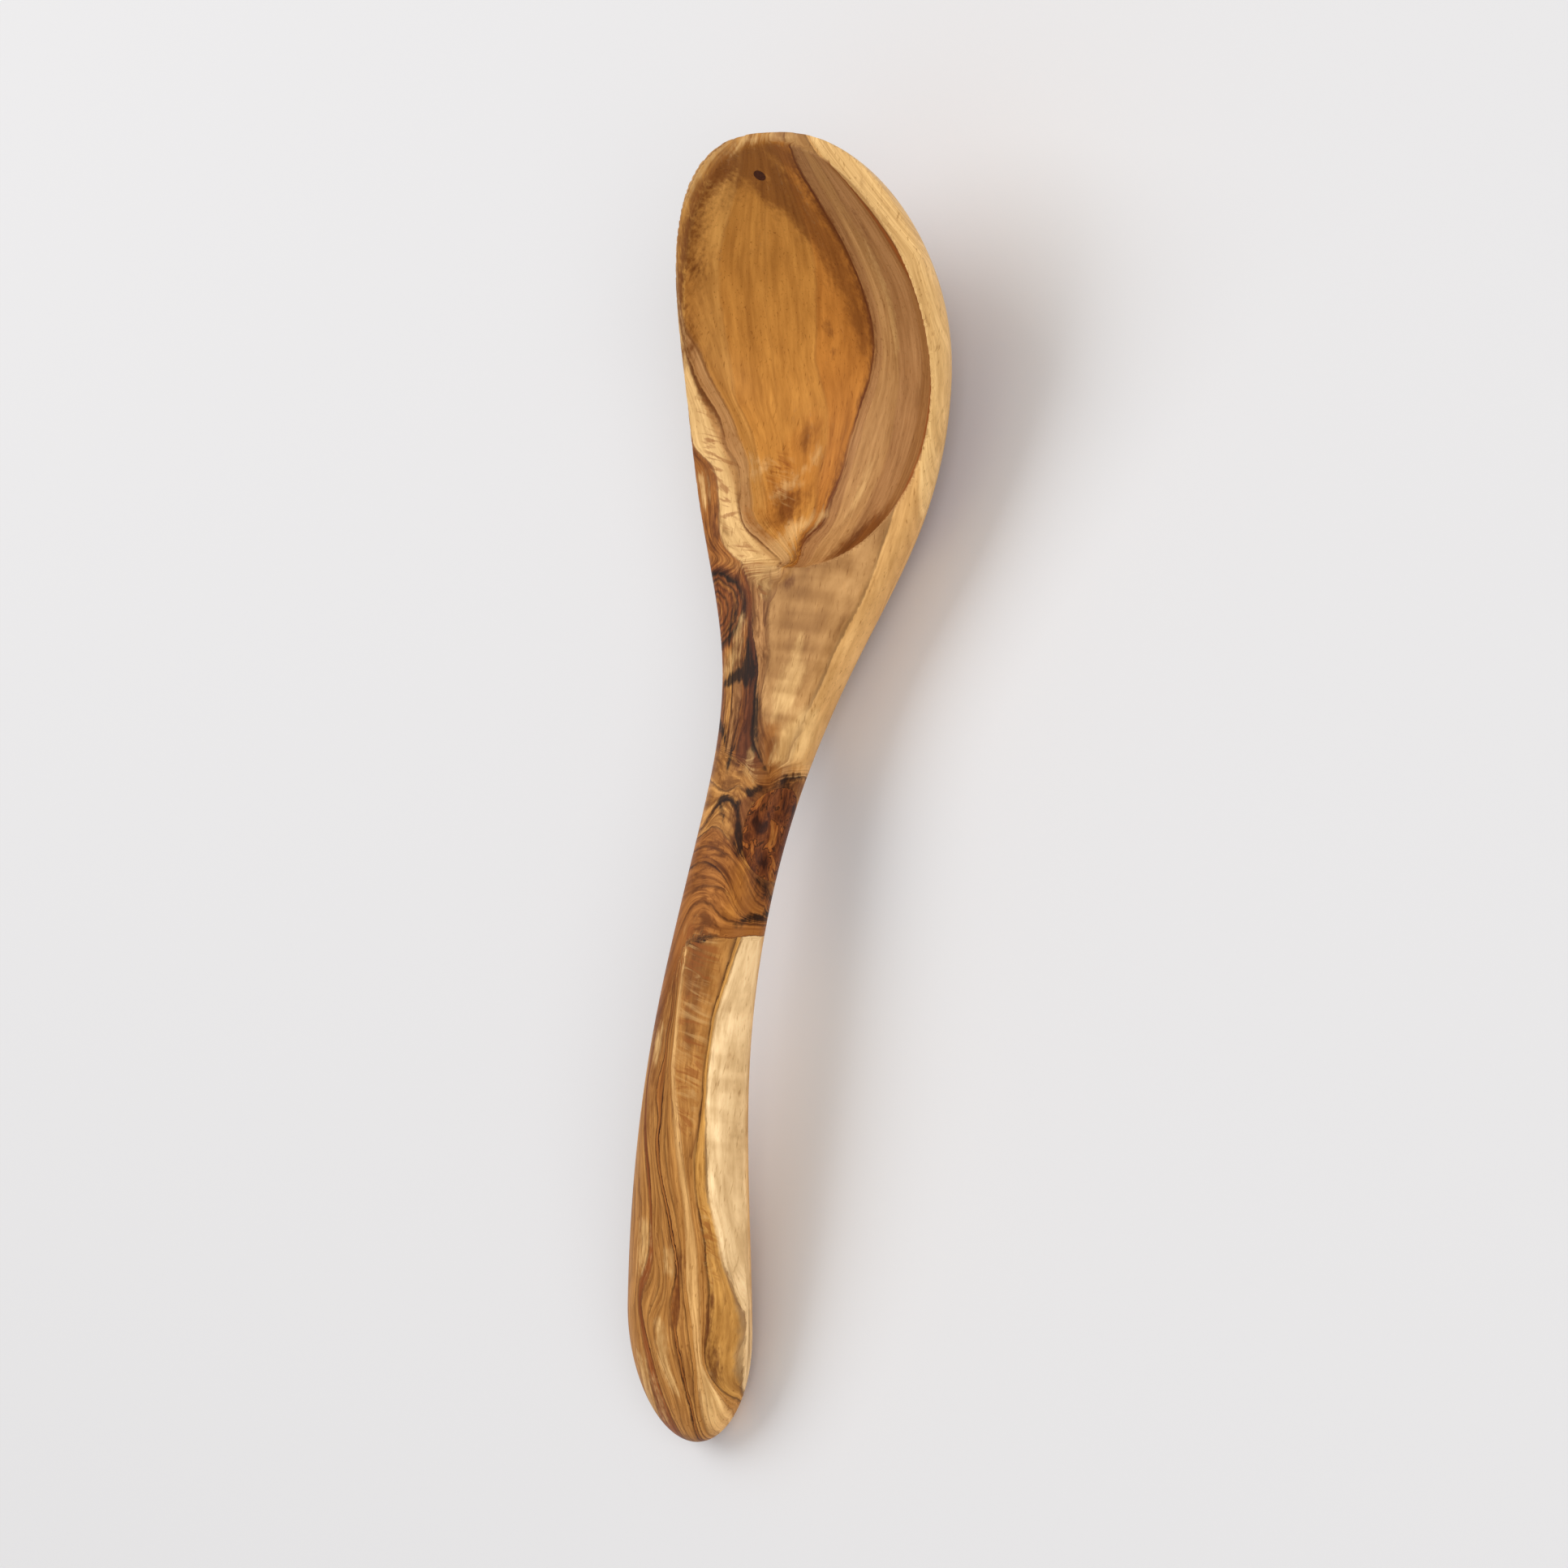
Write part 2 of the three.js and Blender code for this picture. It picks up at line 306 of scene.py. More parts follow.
def ellipsoid(name, centre, radii, swell):
    """A ball of wood at a knot, a little uneven where swell isn't 0."""
    maker = bmesh.new()
    around, along = KNOT_SEGMENTS
    bmesh.ops.create_uvsphere(maker, u_segments=around, v_segments=along, radius=1)
    for point in maker.verts:
        angle = math.atan2(point.co.z, point.co.x)
        waves = sum(height * math.sin(number * angle + turn) for height, number, turn in KNOT_WAVES)
        uneven = 1 + swell * waves
        place = [c + r * uneven * v for c, r, v in zip(centre, radii, point.co)]
        point.co = to_scene(place).tolist()
    mesh = bpy.data.meshes.new(name)
    maker.to_mesh(mesh)
    maker.free()
    return new_object(name, mesh)


def combine(piece, tool, operation):
    cut = piece.modifiers.new("cut", "BOOLEAN")
    cut.object = tool
    cut.operation = operation
    cut.solver = "EXACT"


def finished_mesh(piece, name):
    """The mesh that the piece's modifiers leave, shaded smooth up to sharp edges."""
    ready = piece.evaluated_get(bpy.context.evaluated_depsgraph_get())
    mesh = bpy.data.meshes.new_from_object(ready)
    mesh.name = name
    mesh.shade_smooth()
    mesh.set_sharp_from_angle(angle=SHARP_ANGLE)
    return mesh


def ladle_meshes():
    """The body with its two sockets, and the two knots cut to the carving's surface."""
    half, edge, _, _ = blank_section(np.array(NECK_KNOT_AT))
    neck_centre = (NECK_KNOT_AT, -float(half), float(edge))
    pin_centre = (*PIN_KNOT_AT, float(top_height(*np.array(PIN_KNOT_AT))))
    pin_radii = (PIN_KNOT_RADIUS,) * 3
    knots = {
        "neck_knot": (neck_centre, NECK_KNOT_RADII, NECK_KNOT_SWELL),
        "bowl_pin_knot": (pin_centre, pin_radii, 0.0),
    }
    body = carved_object()
    scratch = [body]
    pieces = {}
    for name, (centre, radii, swell) in knots.items():
        socket = ellipsoid(name + ".socket", centre, [r + KNOT_GAP for r in radii], swell)
        combine(body, socket, "DIFFERENCE")
        knot = ellipsoid(name + ".ball", centre, radii, swell)
        carving_copy = new_object(name + ".carving", body.data)
        combine(knot, carving_copy, "INTERSECT")
        scratch += [socket, knot, carving_copy]
        pieces[name] = knot
    pieces["ladle_body"] = body
    meshes = {name: finished_mesh(piece, name + ".carved") for name, piece in pieces.items()}
    for piece in scratch:
        bpy.data.objects.remove(piece)
    return meshes


# Wood tones
TONES = {
    "cream": "#f8cf96",
    "blond": "#edbd7a",
    "pale": "#e5ae6a",
    "sand": "#d3a268",
    "gold": "#d99c4e",
    "honey": "#d08e3f",
    "amber": "#c27c32",
    "tan": "#bd8140",
    "oak": "#a9682d",
    "rose": "#b6824f",
    "fawn": "#a5713f",
    "greige": "#bd8a52",
    "brown": "#985424",
    "russet": "#9b5522",
    "bark": "#834a1a",
    "umber": "#6b3617",
    "dark": "#3d1b0b",
    "black": "#1a0b05",
}

# Grain lines, in millimetres seen from above: the tone of the wood past each line, how
# dark a vein runs along it, and its points. The wood before the first line has the tone given first.
# Along the ladle, each family from its left to its right. A point is a place along the ladle, then across.
HANDLE_LINES = ("tan", [
    ("tan", 0.2, [(0, 13), (15, 10.8), (20, 10.6), (30, 11), (39, 9.9), (45, 9.8), (51, 9.1), (57, 9.4),
        (64, 10.3), (75, 11.5), (122, 9)]),
    ("brown", 0.55, [(0, 5.5), (9, 5.4), (14, 6), (20, 6.8), (25, 8), (29, 9), (32, 9.6), (37, 9.2),
        (41, 6.6), (45, 5.2), (51, 5), (55, 5.1), (59, 5.9), (64, 7), (70, 8.6), (75, 9.6), (84, 10.4),
        (100, 9), (122, 8)]),
    ("tan", 0.7, [(0, -1), (3, -0.3), (7, 0.5), (11, 2), (17, 3.5), (22, 5), (27, 6.8), (30, 8), (33, 8.2),
        (36, 7), (40, 4.6), (44, 3.6), (48, 4), (53, 4.4), (59, 5), (65, 6), (70, 7.4), (75, 8.6),
        (84, 9.6), (100, 8), (122, 7)]),
    ("tan", 0.45, [(0, -2), (5, -0.9), (12, 1.2), (20, 4), (27, 5.7), (29.5, 5.3), (32, 4), (35, 2.3),
        (37.5, 1.3), (41, 1.2), (44, 2.3), (48, 3.2), (53, 3.4), (58, 3.2), (62, 4), (66, 5), (70, 6.2),
        (75, 7.6), (80, 8.7), (84, 9.2), (100, 7), (122, 6.5)]),
    ("tan", 0.35, [(0, -3), (5, -2.3), (9, -2.8), (13, -2.3), (17, -0.3), (22, 2.3), (26, 3.2), (31, 1.5),
        (34, 0), (38, -0.8), (42, -0.4), (47, 0), (52, 1), (57, 1.6), (61, 2.6), (65, 3.8), (70, 5.2),
        (73, 5.2), (80, 5.8), (83, 6.2), (87, 5.6), (90, 4.9), (94, 4.6), (100, 5.2), (122, 5.8)]),
    ("oak", 1.0, [(0, -4.8), (3, -5.7), (5.5, -6.3), (10, -6.5), (15, -5.8), (20, -5), (25, -4),
        (29, -3.3), (31.5, -2.3), (35, -2.2), (37.5, -3), (40, -3.9), (43, -4.1), (46, -3.6), (49, -2.5),
        (53, -1.4), (57, -0.2), (60, 1), (63, 2.1), (66.5, 3.2), (70, 4.2), (73, 4.2), (77, 3.6),
        (80, 4.8), (83, 5.6), (87, 5), (90, 4), (93, 3.4), (97, 3.9), (101, 3.2), (105, 3.5), (110, 4.8),
        (122, 5.2)]),
    ("tan", 1.0, [(0, -5.4), (3, -6.2), (5.5, -6.7), (10, -6.9), (20, -5.5), (25, -4.5), (29, -3.8),
        (31, -4.4), (33, -5), (36, -5.2), (39, -4.8), (43, -4.4), (46, -4), (49, -3), (53, -2.1), (57, -1),
        (60, 0.3), (63, 1.4), (66.5, 2.4), (70, 3), (74, 3.4), (77, 2.6), (81, 2.9), (84, 2.7),
        (87.5, 2.6), (93, 3.1), (97, 3.4), (101, 2.8), (105, 3), (110, 4.2), (122, 4.8)]),
    ("tan", 0.6, [(0, -7), (9, -7.6), (15, -8.2), (20, -8.7), (27, -7.8), (33, -6.8), (38, -5.8),
        (43, -5.4), (48, -5.2), (52, -4.4), (58, -2.6), (64, -0.8), (70, 0.8), (76, 1.4), (84, 1.6),
        (92, 2.2), (104, 2.4), (122, 4)]),
    ("pale", 0.2, [(0, -8.5), (10, -9), (20, -9.6), (30, -8.8), (40, -6.9), (47, -6.7), (55, -6.3),
        (60, -5.3), (65, -4), (71, -2.7), (77, -1.3), (83, -0.3), (89, 1), (104, 1.8), (122, 3.4)]),
    ("tan", 0.1, [(0, -11), (8, -14), (14, -14.5), (18, -12.4), (22, -11), (30, -10.8), (40, -10.2),
        (47, -9.6), (53, -8.6), (60, -7), (67, -5.3), (73, -4), (79, -2.7), (83, -1.5), (90, 0), (104, 1),
        (122, 2.6)]),
    ("gold", 0.85, [(0, -14), (10, -17.4), (14, -16.6), (17, -14), (20, -12.2), (23.5, -11.6), (27, -11.9),
        (30, -12.6), (40, -12.7), (45, -12), (51, -11.3), (55, -10.3), (60, -9.3), (64, -8.4), (69, -8),
        (75, -8.2), (80, -8.6), (86, -8.6), (93, -8.3), (104, -8.3), (110, -9), (122, -10)]),
    ("cream", 0.5, [(0, -15), (10, -18.4), (17, -17), (24, -18), (30, -18.4), (36, -18.2), (43, -16.6),
        (47, -15.2), (52, -14.2), (57, -12.9), (60, -12), (65, -11.2), (70, -10.7), (77, -10), (83, -9.4),
        (93, -8.9), (104, -8.9), (110, -9.6), (122, -10.6)]),
    ("pale", 0.0, [(0, -16), (10, -19), (25, -20), (45, -19), (80, -16), (122, -13)]),
])
HEEL_LINES = ("oak", [
    ("tan", 0.6, [(150, 8), (165, 9), (175, 11), (182, 13), (190, 16.5), (196, 18), (203, 20), (209, 24)]),
    ("fawn", 0.85, [(150, 5), (160, 5.6), (166, 6.2), (172, 7.4), (178, 9), (184, 11), (190, 13),
        (196, 13.6), (202, 14), (209, 17)]),
    ("oak", 0.9, [(150, 3.4), (160, 3.9), (166, 4.1), (172, 4.6), (178, 5.4), (184, 8), (190, 9.4),
        (196, 10.4), (202, 11.6), (209, 15.6)]),
    ("umber", 0.8, [(150, 0), (158, 1), (166, 2.4), (172, 2.8), (178, 3.8), (184, 5.6), (190, 7), (196, 9),
        (202, 10.8), (209, 15)]),
    ("fawn", 1.0, [(150, -10), (160, -9.3), (162.7, -6.7), (165.3, -4), (167.3, -2), (170, -1),
        (173.3, -0.3), (176.7, 0.7), (180, 1.7), (183.3, 2), (186.7, 3.3), (190, 5), (193.3, 7),
        (196.7, 8), (202, 9.7), (206, 12), (209.3, 14.3), (213, 18)]),
    ("greige", 0.2, [(150, -10.5), (160, -9.8), (163, -8.5), (166, -7.6), (169, -5.6), (172, -3.2),
        (176, -1.6), (180, -0.4), (186, -0.2), (192, 1), (198, 3), (204, 4), (209, 5)]),
    ("pale", 0.45, [(150, -12.6), (165, -12), (175, -13.2), (185, -15.8), (195, -19.2), (203, -22.6),
        (210, -25), (220, -28), (240, -33), (262, -36), (280, -32), (305, -10)]),
    ("blond", 0.0, [(150, -18), (175, -20), (190, -24), (205, -30), (220, -34), (232, -35.6), (245, -35.6),
        (262, -36.6), (280, -32.6), (305, -10.6)]),
])
BOWL_LINES = ("oak", [
    ("blond", 0.6, [(205, 9), (209.3, 13), (211.4, 17.6), (212.6, 21), (216, 23.6), (220.2, 25),
        (222.7, 25.2), (227.8, 26.4), (232, 27.9), (234.5, 31.1), (236.2, 35.7), (240, 37.4), (246, 38.4),
        (250, 40), (256, 44), (305, 40)]),
    ("sand", 0.8, [(205, 2), (210.5, 2.6), (213, 8.4), (216.8, 14.2), (219.4, 17.6), (225.3, 20.5),
        (230.3, 22.2), (234.5, 24.3), (237.9, 26.9), (243, 29.8), (247.2, 32.3), (250.5, 34.6),
        (253.9, 36.5), (258.1, 37.8), (264, 38.8), (270, 39.2), (280, 38.4), (290, 34.4), (300, 24),
        (305, 12)]),
    ("gold", 0.6, [(205, 1.4), (211.5, 2.2), (215, 8.2), (219, 14.5), (221.9, 17.6), (228.6, 20.5),
        (235.4, 23.1), (240.4, 26.4), (245.5, 29.4), (250.5, 32.8), (254.8, 35.3), (259, 36.6),
        (264, 37.6), (270, 38), (280, 37), (290, 33), (300, 22), (305, 10)]),
    ("honey", 0.2, [(205, 1.2), (212, 2), (216, 8), (222, 15), (235, 21.4), (243, 25.4), (251, 30.6),
        (259, 32.4), (267, 32.6), (274, 31.6), (281, 29), (288, 24), (294, 18), (303, 6)]),
    ("honey", 0.12, [(205, 1), (212, 1.8), (224, 11.5), (239.5, 18), (249, 21.6), (258, 23.3), (266, 23.3),
        (274, 22), (282, 19), (290, 14), (296, 9), (303, 2)]),
    ("amber", 0.2, [(205, 0.8), (212, 1.6), (218, 6), (225, 5.4), (233, 8), (243, 8), (251, 8.9),
        (258, 11.4), (262.6, 12.6), (268, 11), (272.4, 10), (279, 7), (287, 4), (295, 2), (303, -2)]),
    ("rose", 0.95, [(205, -2), (210.7, -0.2), (212.3, 2.3), (215.6, 4.4), (219, 4.4), (221, 2.3),
        (224, 1.5), (227.2, 3.2), (231, 2.3), (235.4, 1.5), (243, 1.5), (246, 0.7), (250, -0.2),
        (254, -1.8), (259, -3.8), (265, -5.7), (270, -6.3), (276, -6.3), (282, -6), (287, -5.4),
        (293, -4.4), (298, -3.8), (301, -5.1), (303, -8)]),
    ("greige", 0.1, [(205, -4), (210, -3), (216, 0), (222, -1.5), (232, -0.8), (240, -1.2), (248, -2.4),
        (256, -5.8), (264, -8.6), (274, -9.4), (284, -9), (296, -7.8), (303, -10)]),
    ("rose", 0.1, [(205, -8), (212, -9), (222, -9), (240, -12), (258, -14), (276, -14.5), (292, -12),
        (303, -12)]),
    ("fawn", 0.15, [(205, -12), (213, -14), (222, -17), (240, -20.5), (258, -23.5), (276, -24.6),
        (290, -19.6), (303, -13.6)]),
    # The brown strip past this line is painted shade on the bowl's right wall near its rim.
    ("brown", 0.15, [(205, -15), (213, -17), (222, -20.5), (240, -25.5), (258, -28), (276, -27),
        (290, -21), (303, -14.6)]),
    ("blond", 0.5, [(205, -22), (213, -24), (225, -32), (240, -36.4), (256, -38.3), (266, -36.5),
        (276, -31), (284, -26), (290, -22.5), (296, -18), (303, -15.5)]),
])
# Across the neck, from the handle to the bowl. A point is a place across the ladle, then along it.
NECK_LINES = ("brown", [
    ("oak", 0.75, [(-14, 123.8), (-12, 123.2), (-10, 122.2), (-8, 121.6), (-5.3, 121.4), (-1.3, 120.7),
        (2.7, 119.3), (4, 118), (5, 110), (6.2, 100), (14, 94)]),
    ("oak", 0.85, [(-14, 126.3), (-10.5, 125.8), (-6, 125.9), (-5, 126.4), (-4, 128), (-1.3, 129.3),
        (2, 128.7), (4.7, 126.7), (6, 124), (7, 118), (9, 112)]),
    ("oak", 0.6, [(-14, 126.6), (-10, 126.4), (-8.7, 128.7), (-6, 132.5), (-2.7, 133.3), (2.7, 132),
        (6.7, 130), (9.3, 128.7), (14, 127)]),
    ("oak", 1.0, [(-14, 127), (-10.5, 126.8), (-9.3, 127.6), (-7.3, 131.3), (-5.3, 134.7), (-2, 137),
        (1.3, 138.1), (4.7, 137.7), (8, 136.3), (14, 134)]),
    ("oak", 0.7, [(-14, 128), (-11.3, 129.3), (-10.7, 133), (-8.7, 137), (-6, 139.5), (-3, 141), (1, 142),
        (5, 141.5), (9, 140), (14, 139)]),
    ("tan", 0.7, [(-14, 130), (-11.5, 134), (-9, 138.6), (-5.5, 141.6), (-4.7, 142.7), (-2.7, 144),
        (0.7, 146.7), (3, 147), (6, 144.5), (9, 143)]),
    ("tan", 1.0, [(-14, 134), (-11, 138), (-7, 141), (-5.5, 142), (-4.6, 146), (-4.2, 149.5),
        (-2.7, 151.3), (-0.7, 153.2), (2, 153.7), (3.3, 152.7), (5, 149.3), (6.7, 146.7), (9, 145),
        (14, 144)]),
    ("tan", 0.7, [(-14, 146), (-10, 152), (-7, 154), (-4, 155), (-2.7, 158), (-0.7, 156.7), (2, 154.9),
        (4, 155.5), (6, 156), (9, 157), (14, 158)]),
    ("oak", 0.4, [(-14, 162), (-12, 160.6), (-10, 158.6), (-8, 157.4), (-6, 157.8), (-3, 161), (0, 163),
        (4, 164), (9, 165), (14, 166)]),
])

# The swirl on the left of the heel: its middle, how flat its rings are, their tones by distance in
# millimetres, and the distances between which it fades into the wood around it
SWIRL_CENTRE = (198.0, 22.0)
SWIRL_SQUASH = 0.85
SWIRL_TONES = [
    (0, "brown"), (1.5, "umber"), (2.2, "oak"), (3, "umber"), (3.7, "brown"), (4.4, "dark"), (5.2, "brown"),
    (6, "umber"), (6.7, "oak"), (7.4, "dark"), (8, "brown"), (8.8, "black"), (10, "umber"), (11, "russet"),
    (13, "brown"),
]
SWIRL_FADE = (9.5, 12.5)

# Stains and kinds of wood: how softly each fades out, in millimetres, and its strokes, as
# places along the middle with the half width there. A width below 0 leaves only a faint stain.
HEEL_BLOCK = [(170, -8, 3), (178, -7, 5), (190, -8, 8), (206, -10, 9)]
# Besides stains, some strokes of the dark, cloud and pale kinds are painted shade and painted light; each
# is marked.
STAINS = {
    "black_stain": (1.2, [
        [(147, 6.6, 0.2), (150.5, 4.6, 0.4), (153.5, 2.4, 1.1), (153.3, -0.6, 0.7), (151.4, -2.8, 0.3)],
        [(155.2, -4, 0.7), (156.6, -6, 1.3), (157, -7.6, 0.6)],
        [(160, 3.9, 0.5), (163, 4, 0.8), (166, 4.1, 0.3)],
        [(161, -8, 0.2), (164, -5.4, 0.4), (167, -2.6, 0.7), (172, -1, 1.2), (177, 0.4, 1.2),
            (182, 2.2, 0.5), (188, 4.2, 0.5)],
        [(180.5, 4.4, 1), (184, 5.6, 2.6), (188, 6.8, 1.6), (192, 8, 0.4)],
        [(180.6, 13, 1), (182.2, 10, 1.8), (183.5, 7, 2.2)],
        [(166.5, 7.2, 0.3), (169, 9.4, 1), (171.4, 12.6, 1.2)],
        [(145, -1.4, 0.3), (149.3, 1, 0.5), (152, 2.6, 0.6)],
        [(138, -11.8, 0.5), (148, -11.6, 0.9), (157, -11.6, 0.9), (161, -11.8, 0.4)],
        [(125.2, -9.4, 0.5), (127, -11, 0.9), (128.4, -13, 1.1)],
        [(118.6, 2.4, 0.3), (119.8, 0, 0.8), (120.8, -2.8, 0.8), (121.8, -5.4, 0.4)],
        [(205, 17, 0.4), (206.6, 21, 0.7), (206.8, 25, 0.6)],
        [(190, 14.6, 0.5), (195, 15, 0.9), (200, 14.6, 0.5)],
        [(141.4, -6.6, 0.9), (144, -5.2, 1.2), (147, -4.2, 0.9), (150, -3.2, 0.6), (153, -2.6, 0.6)],
        [(130.4, -16, 0.4), (132.6, -12.4, 0.4), (136, -10.8, 0.3)],
        [(156.2, -7.6, 0.1), (157.6, -9.6, 0.4), (159.8, -11.6, 0.6), (161.4, -13.4, 0.7)],
    ]),
    "dark_stain_and_shade": (2.4, [
        [(223.5, 11.8, 0.9), (228, 12.8, 1.4)],
        # Painted shade: the dark crescent on the bowl's right wall at the heel.
        [(214.6, -8.6, 1.3), (218.6, -12.6, 2.9), (223, -17, 2.1)],
        [(263.5, 7, 0.6), (264.5, 7, 0.6)],
        [(268, 7.3, 0.7), (269.5, 7.3, 0.7)],
        [(19, -13.6, 0.8), (28, -12.6, 1), (38, -13.4, 0.4)],
        [(284, -12, -0.8), (289, -11, -0.3), (292, -9.8, -0.6)],
        [(286, -15.4, -0.8), (290, -14.6, -0.3), (294, -13, -0.6)],
        [(166, -7.6, 0.9), (168, -7.8, 0.9)],
        [(213, 25, 0.8), (219, 26.8, 1.7), (222, 26.8, 0.8)],
        [(228, 28.2, 0.4), (232.6, 29.6, 0.7), (233.8, 33.4, 0.6), (236, 36, 0.9)],
        [(0, 0, 0.5), (1.5, -5, 0.5)],
        [(205, -0.4, 0.5), (207, -2.4, 0.5)],
        [(162, 0.6, 1.6), (174, 3.4, 2), (182, 6, 2)],
        [(211.5, 2.4, 0.7), (215.6, 4.6, 1.2), (219, 4.6, 1.6), (222, 2.4, 1.4), (226, 2.4, 1.1),
            (231, 2.6, 0.7), (240, 2, 0.3)],
        [(252, -0.6, 0.3), (259, -3.4, 0.7), (270, -5.8, 0.9), (282, -5.4, 0.9), (292, -4, 0.9),
            (300, -3.4, 0.8)],
        # Painted shade: a dark band along the bowl's left rim, where the rim lies in shade.
        [(258, 39, 0.5), (272, 37.4, 1), (284, 32.4, 1.2), (294, 24, 1.2), (301, 13, 0.9)],
        [(140.5, -6.6, 1.4), (145, -4.6, 2.8), (151, -4.2, 3), (155, -6, 2.6), (157, -9, 2),
            (159, -12.6, 2)],
        [(130, -16, 1), (132, -12.4, 1.2), (134, -11.8, 1.4), (137.6, -10, 1.6)],
        [(160, 9, 0.8), (168, 10.6, 1.4), (178, 13.4, 1)],
        [(30, -4, 0.5), (38, -4.4, 0.8), (46, -5, 0.8)],
        [(140, 3, 0.6), (144, -1, 0.8), (143, -4, 0.6)],
    ]),
    "pale_stain_and_light": (2.2, [
        [(289, 32.6, 0.4), (295, 27, 0.7), (300.6, 18, 0.8), (303.6, 9, 0.9), (304.4, 0, 0.9),
            (303.4, -8, 0.8)],
        [(228.4, 16, 0.9), (231, 14.6, 1), (232, 12.6, 1), (234, 13.6, 1), (236, 12.4, 0.8)],
        [(231.5, 21.6, 0.7), (235, 20.4, 0.9), (236, 22.6, 0.6)],
        [(238, 10, 0.9), (241, 9.6, 0.7)],
        [(212, 6, 1.6), (216, 9, 2.4), (220, 8.6, 1.8), (222.5, 5.8, 1.6), (224.6, 3.2, 1.2)],
        [(203, 5, 0.8), (207, 8, 2), (211, 12, 2.4)],
        [(223, -3.4, 0.3), (230, -6, 1), (240, -8, 0.6)],
        # Painted light: a pale band that brightens the top of the bowl's right wall, which lies in shade.
        [(264, -13, 0), (273, -14.2, 0.9), (284, -13.6, 0.9), (292, -12, 0)],
        [(224, 30, 0.9), (229.6, 32.4, 1.2)],
        [(239, 36, 0.8), (244, 37.6, 0.8)],
        [(174, -6, 1.4), (178, -7.4, 3), (186, -8.4, 2.6), (194, -8, 0.6)],
        [(165, -10, 1.6), (170, -11.4, 3.2), (175, -13, 3)],
        [(158, -5, 0.2), (161, -2.6, 0.5), (165, -2, 0.2)],
        [(184, 13.4, 1.6), (187.5, 11.6, 1.6)],
        [(191, 11.4, 1.3), (196, 11.6, 1.3)],
        [(13, -2.4, 0.9), (20, 0.6, 1.8), (28, 1.6, 1.6)],
        [(6, 8, 1.6), (12, 8.4, 2), (18, 8.8, 1.4)],
        [(5, 3, 1), (14, 4.8, 0.8)],
        [(39.5, 8.2, 1), (44, 7.4, 1.8), (51, 7, 1.4)],
        [(42, -1.4, 0.9), (46, -1.2, 0.9)],
        [(9, -11, 1), (14, -12, 1.8), (20, -11.4, 0.6)],
        [(90, 7.4, 0.8), (95, 7, 1.4), (98, 6.2, 0.8)],
    ]),
    "amber_stain": (2.4, [
        [(127, -7.6, 1), (134, -8.4, 1.6), (140, -8, 1)],
        [(161, -10, 1.6), (166, -8, 2.6), (172, -6, 1.6)],
        [(158.6, -8, 0.7), (160.6, -10.4, 0.9), (162.8, -12.8, 0.7)],
        [(217, 11, 1), (223, 14, 3.5), (232, 13, 5.5), (240, 14, 4.5), (247, 12, 2)],
    ]),
    "cloud_stain_and_shade": (4.0, [
        # Painted shade: these two clouds darken the bowl's end wall at the tip, where shade falls.
        [(264, -3, 1), (278, -2, 3), (288, 0, 4.4), (296, 5, 5.6), (300, 13, 4), (297, 21, 2.4)],
        [(301, -3, 3), (302, 6, 4), (300, 15, 3)],
        # Painted shade along the bowl's left rim towards the tip.
        [(256, 39, 0.3), (270, 38.2, 0.6), (283, 34.2, 1.2), (293, 26.6, 1.6), (300, 16, 2.4)],
        [(222.5, 12, 2), (228, 12.6, 3)],
        [(242.5, 13.4, 0.8), (245, 13.4, 1)],
        # Painted shade: a cloud over the dark crescent on the bowl's right wall at the heel.
        [(213.4, -7.4, 1.6), (217, -11.5, 3), (221, -15.5, 3.2), (225.4, -19, 1.6)],
        [(97, -3, 0.8), (108, -3, 3), (119, -1, 3.4)],
        [(159.6, -9.6, 0.8), (163, -10, 1.2)],
        [(74, 8, 0.4), (86, 8, 1.8), (100, 7, 3), (114, 6.5, 2.8)],
        [(163, -8.4, 1), (167.5, -6.4, 2), (172, -3.8, 1)],
    ]),
    "calm": (2.0, [
        [(160, -15, 3), (185, -19, 4), (210, -29, 4), (235, -39, 5), (262, -41, 5), (285, -33, 5),
            (300, -17, 5)],
        [(48, -17, 1.5), (80, -13, 2.5), (122, -12.6, 2)],
        HEEL_BLOCK,
    ]),
    "burl": (3.0, [
        [(166, -4, 1.5), (180, 0, 1.5), (196, 5, 2.5), (206, 9, 2.5)],
        [(124, -2, 4), (136, 0, 6), (150, 2, 7), (164, 5, 5), (180, 8, 5), (194, 13, 6), (208, 21, 5),
            (222, 29, 3)],
    ]),
    "curl": (2.2, [
        [(42, -13.4, 1), (50, -12.4, 1.6), (60, -10.4, 1)],
        [(77, -5, 2), (92, -3.6, 4), (118, -3, 4)],
        [(204, 6, 1.6), (210, 11, 2.4), (214, 17, 2.4), (219, 21, 2.6), (226, 23.4, 2.4), (232, 26, 2.2),
            (240, 31.5, 2.4), (247, 35, 1.4)],
        [(228, 14, 2.5), (236, 18, 2.5)],
        [(112, 2, 3), (120, 2, 3)],
    ]),
    "bars": (4.0, [
        HEEL_BLOCK,
        [(76, -12, 1.5), (108, -10.8, 1.5)],
    ]),
}

# How far a line's own strip reaches, how drawn corners are rounded, and the least gap between two lines
LINE_REACH = 1.2
CORNER_SHIFTS = (-1.6, -0.8, 0, 0.8, 1.6)
LEAST_GAP = 0.12

# The spacing of the fine grain, and how far it leans for each millimetre below the top
GRAIN_SPACING = 3.0
GRAIN_LEAN = 0.35

# Where the figure changes along the ladle
NECK_TO_HEEL = (153, 165)
HEEL_TO_BOWL_LEFT = (206, 212)
HEEL_TO_BOWL_BELOW = (198, 224)

# Where it changes across the ladle, and how far below the top it becomes that of the sides
NECK_RIGHT_TO_LEFT = (-3, 3)
BOWL_RIGHT_TO_LEFT = (-2, 6)
NECK_DEPTH = (0.5, 5)
BOWL_DEPTH = (6, 14)

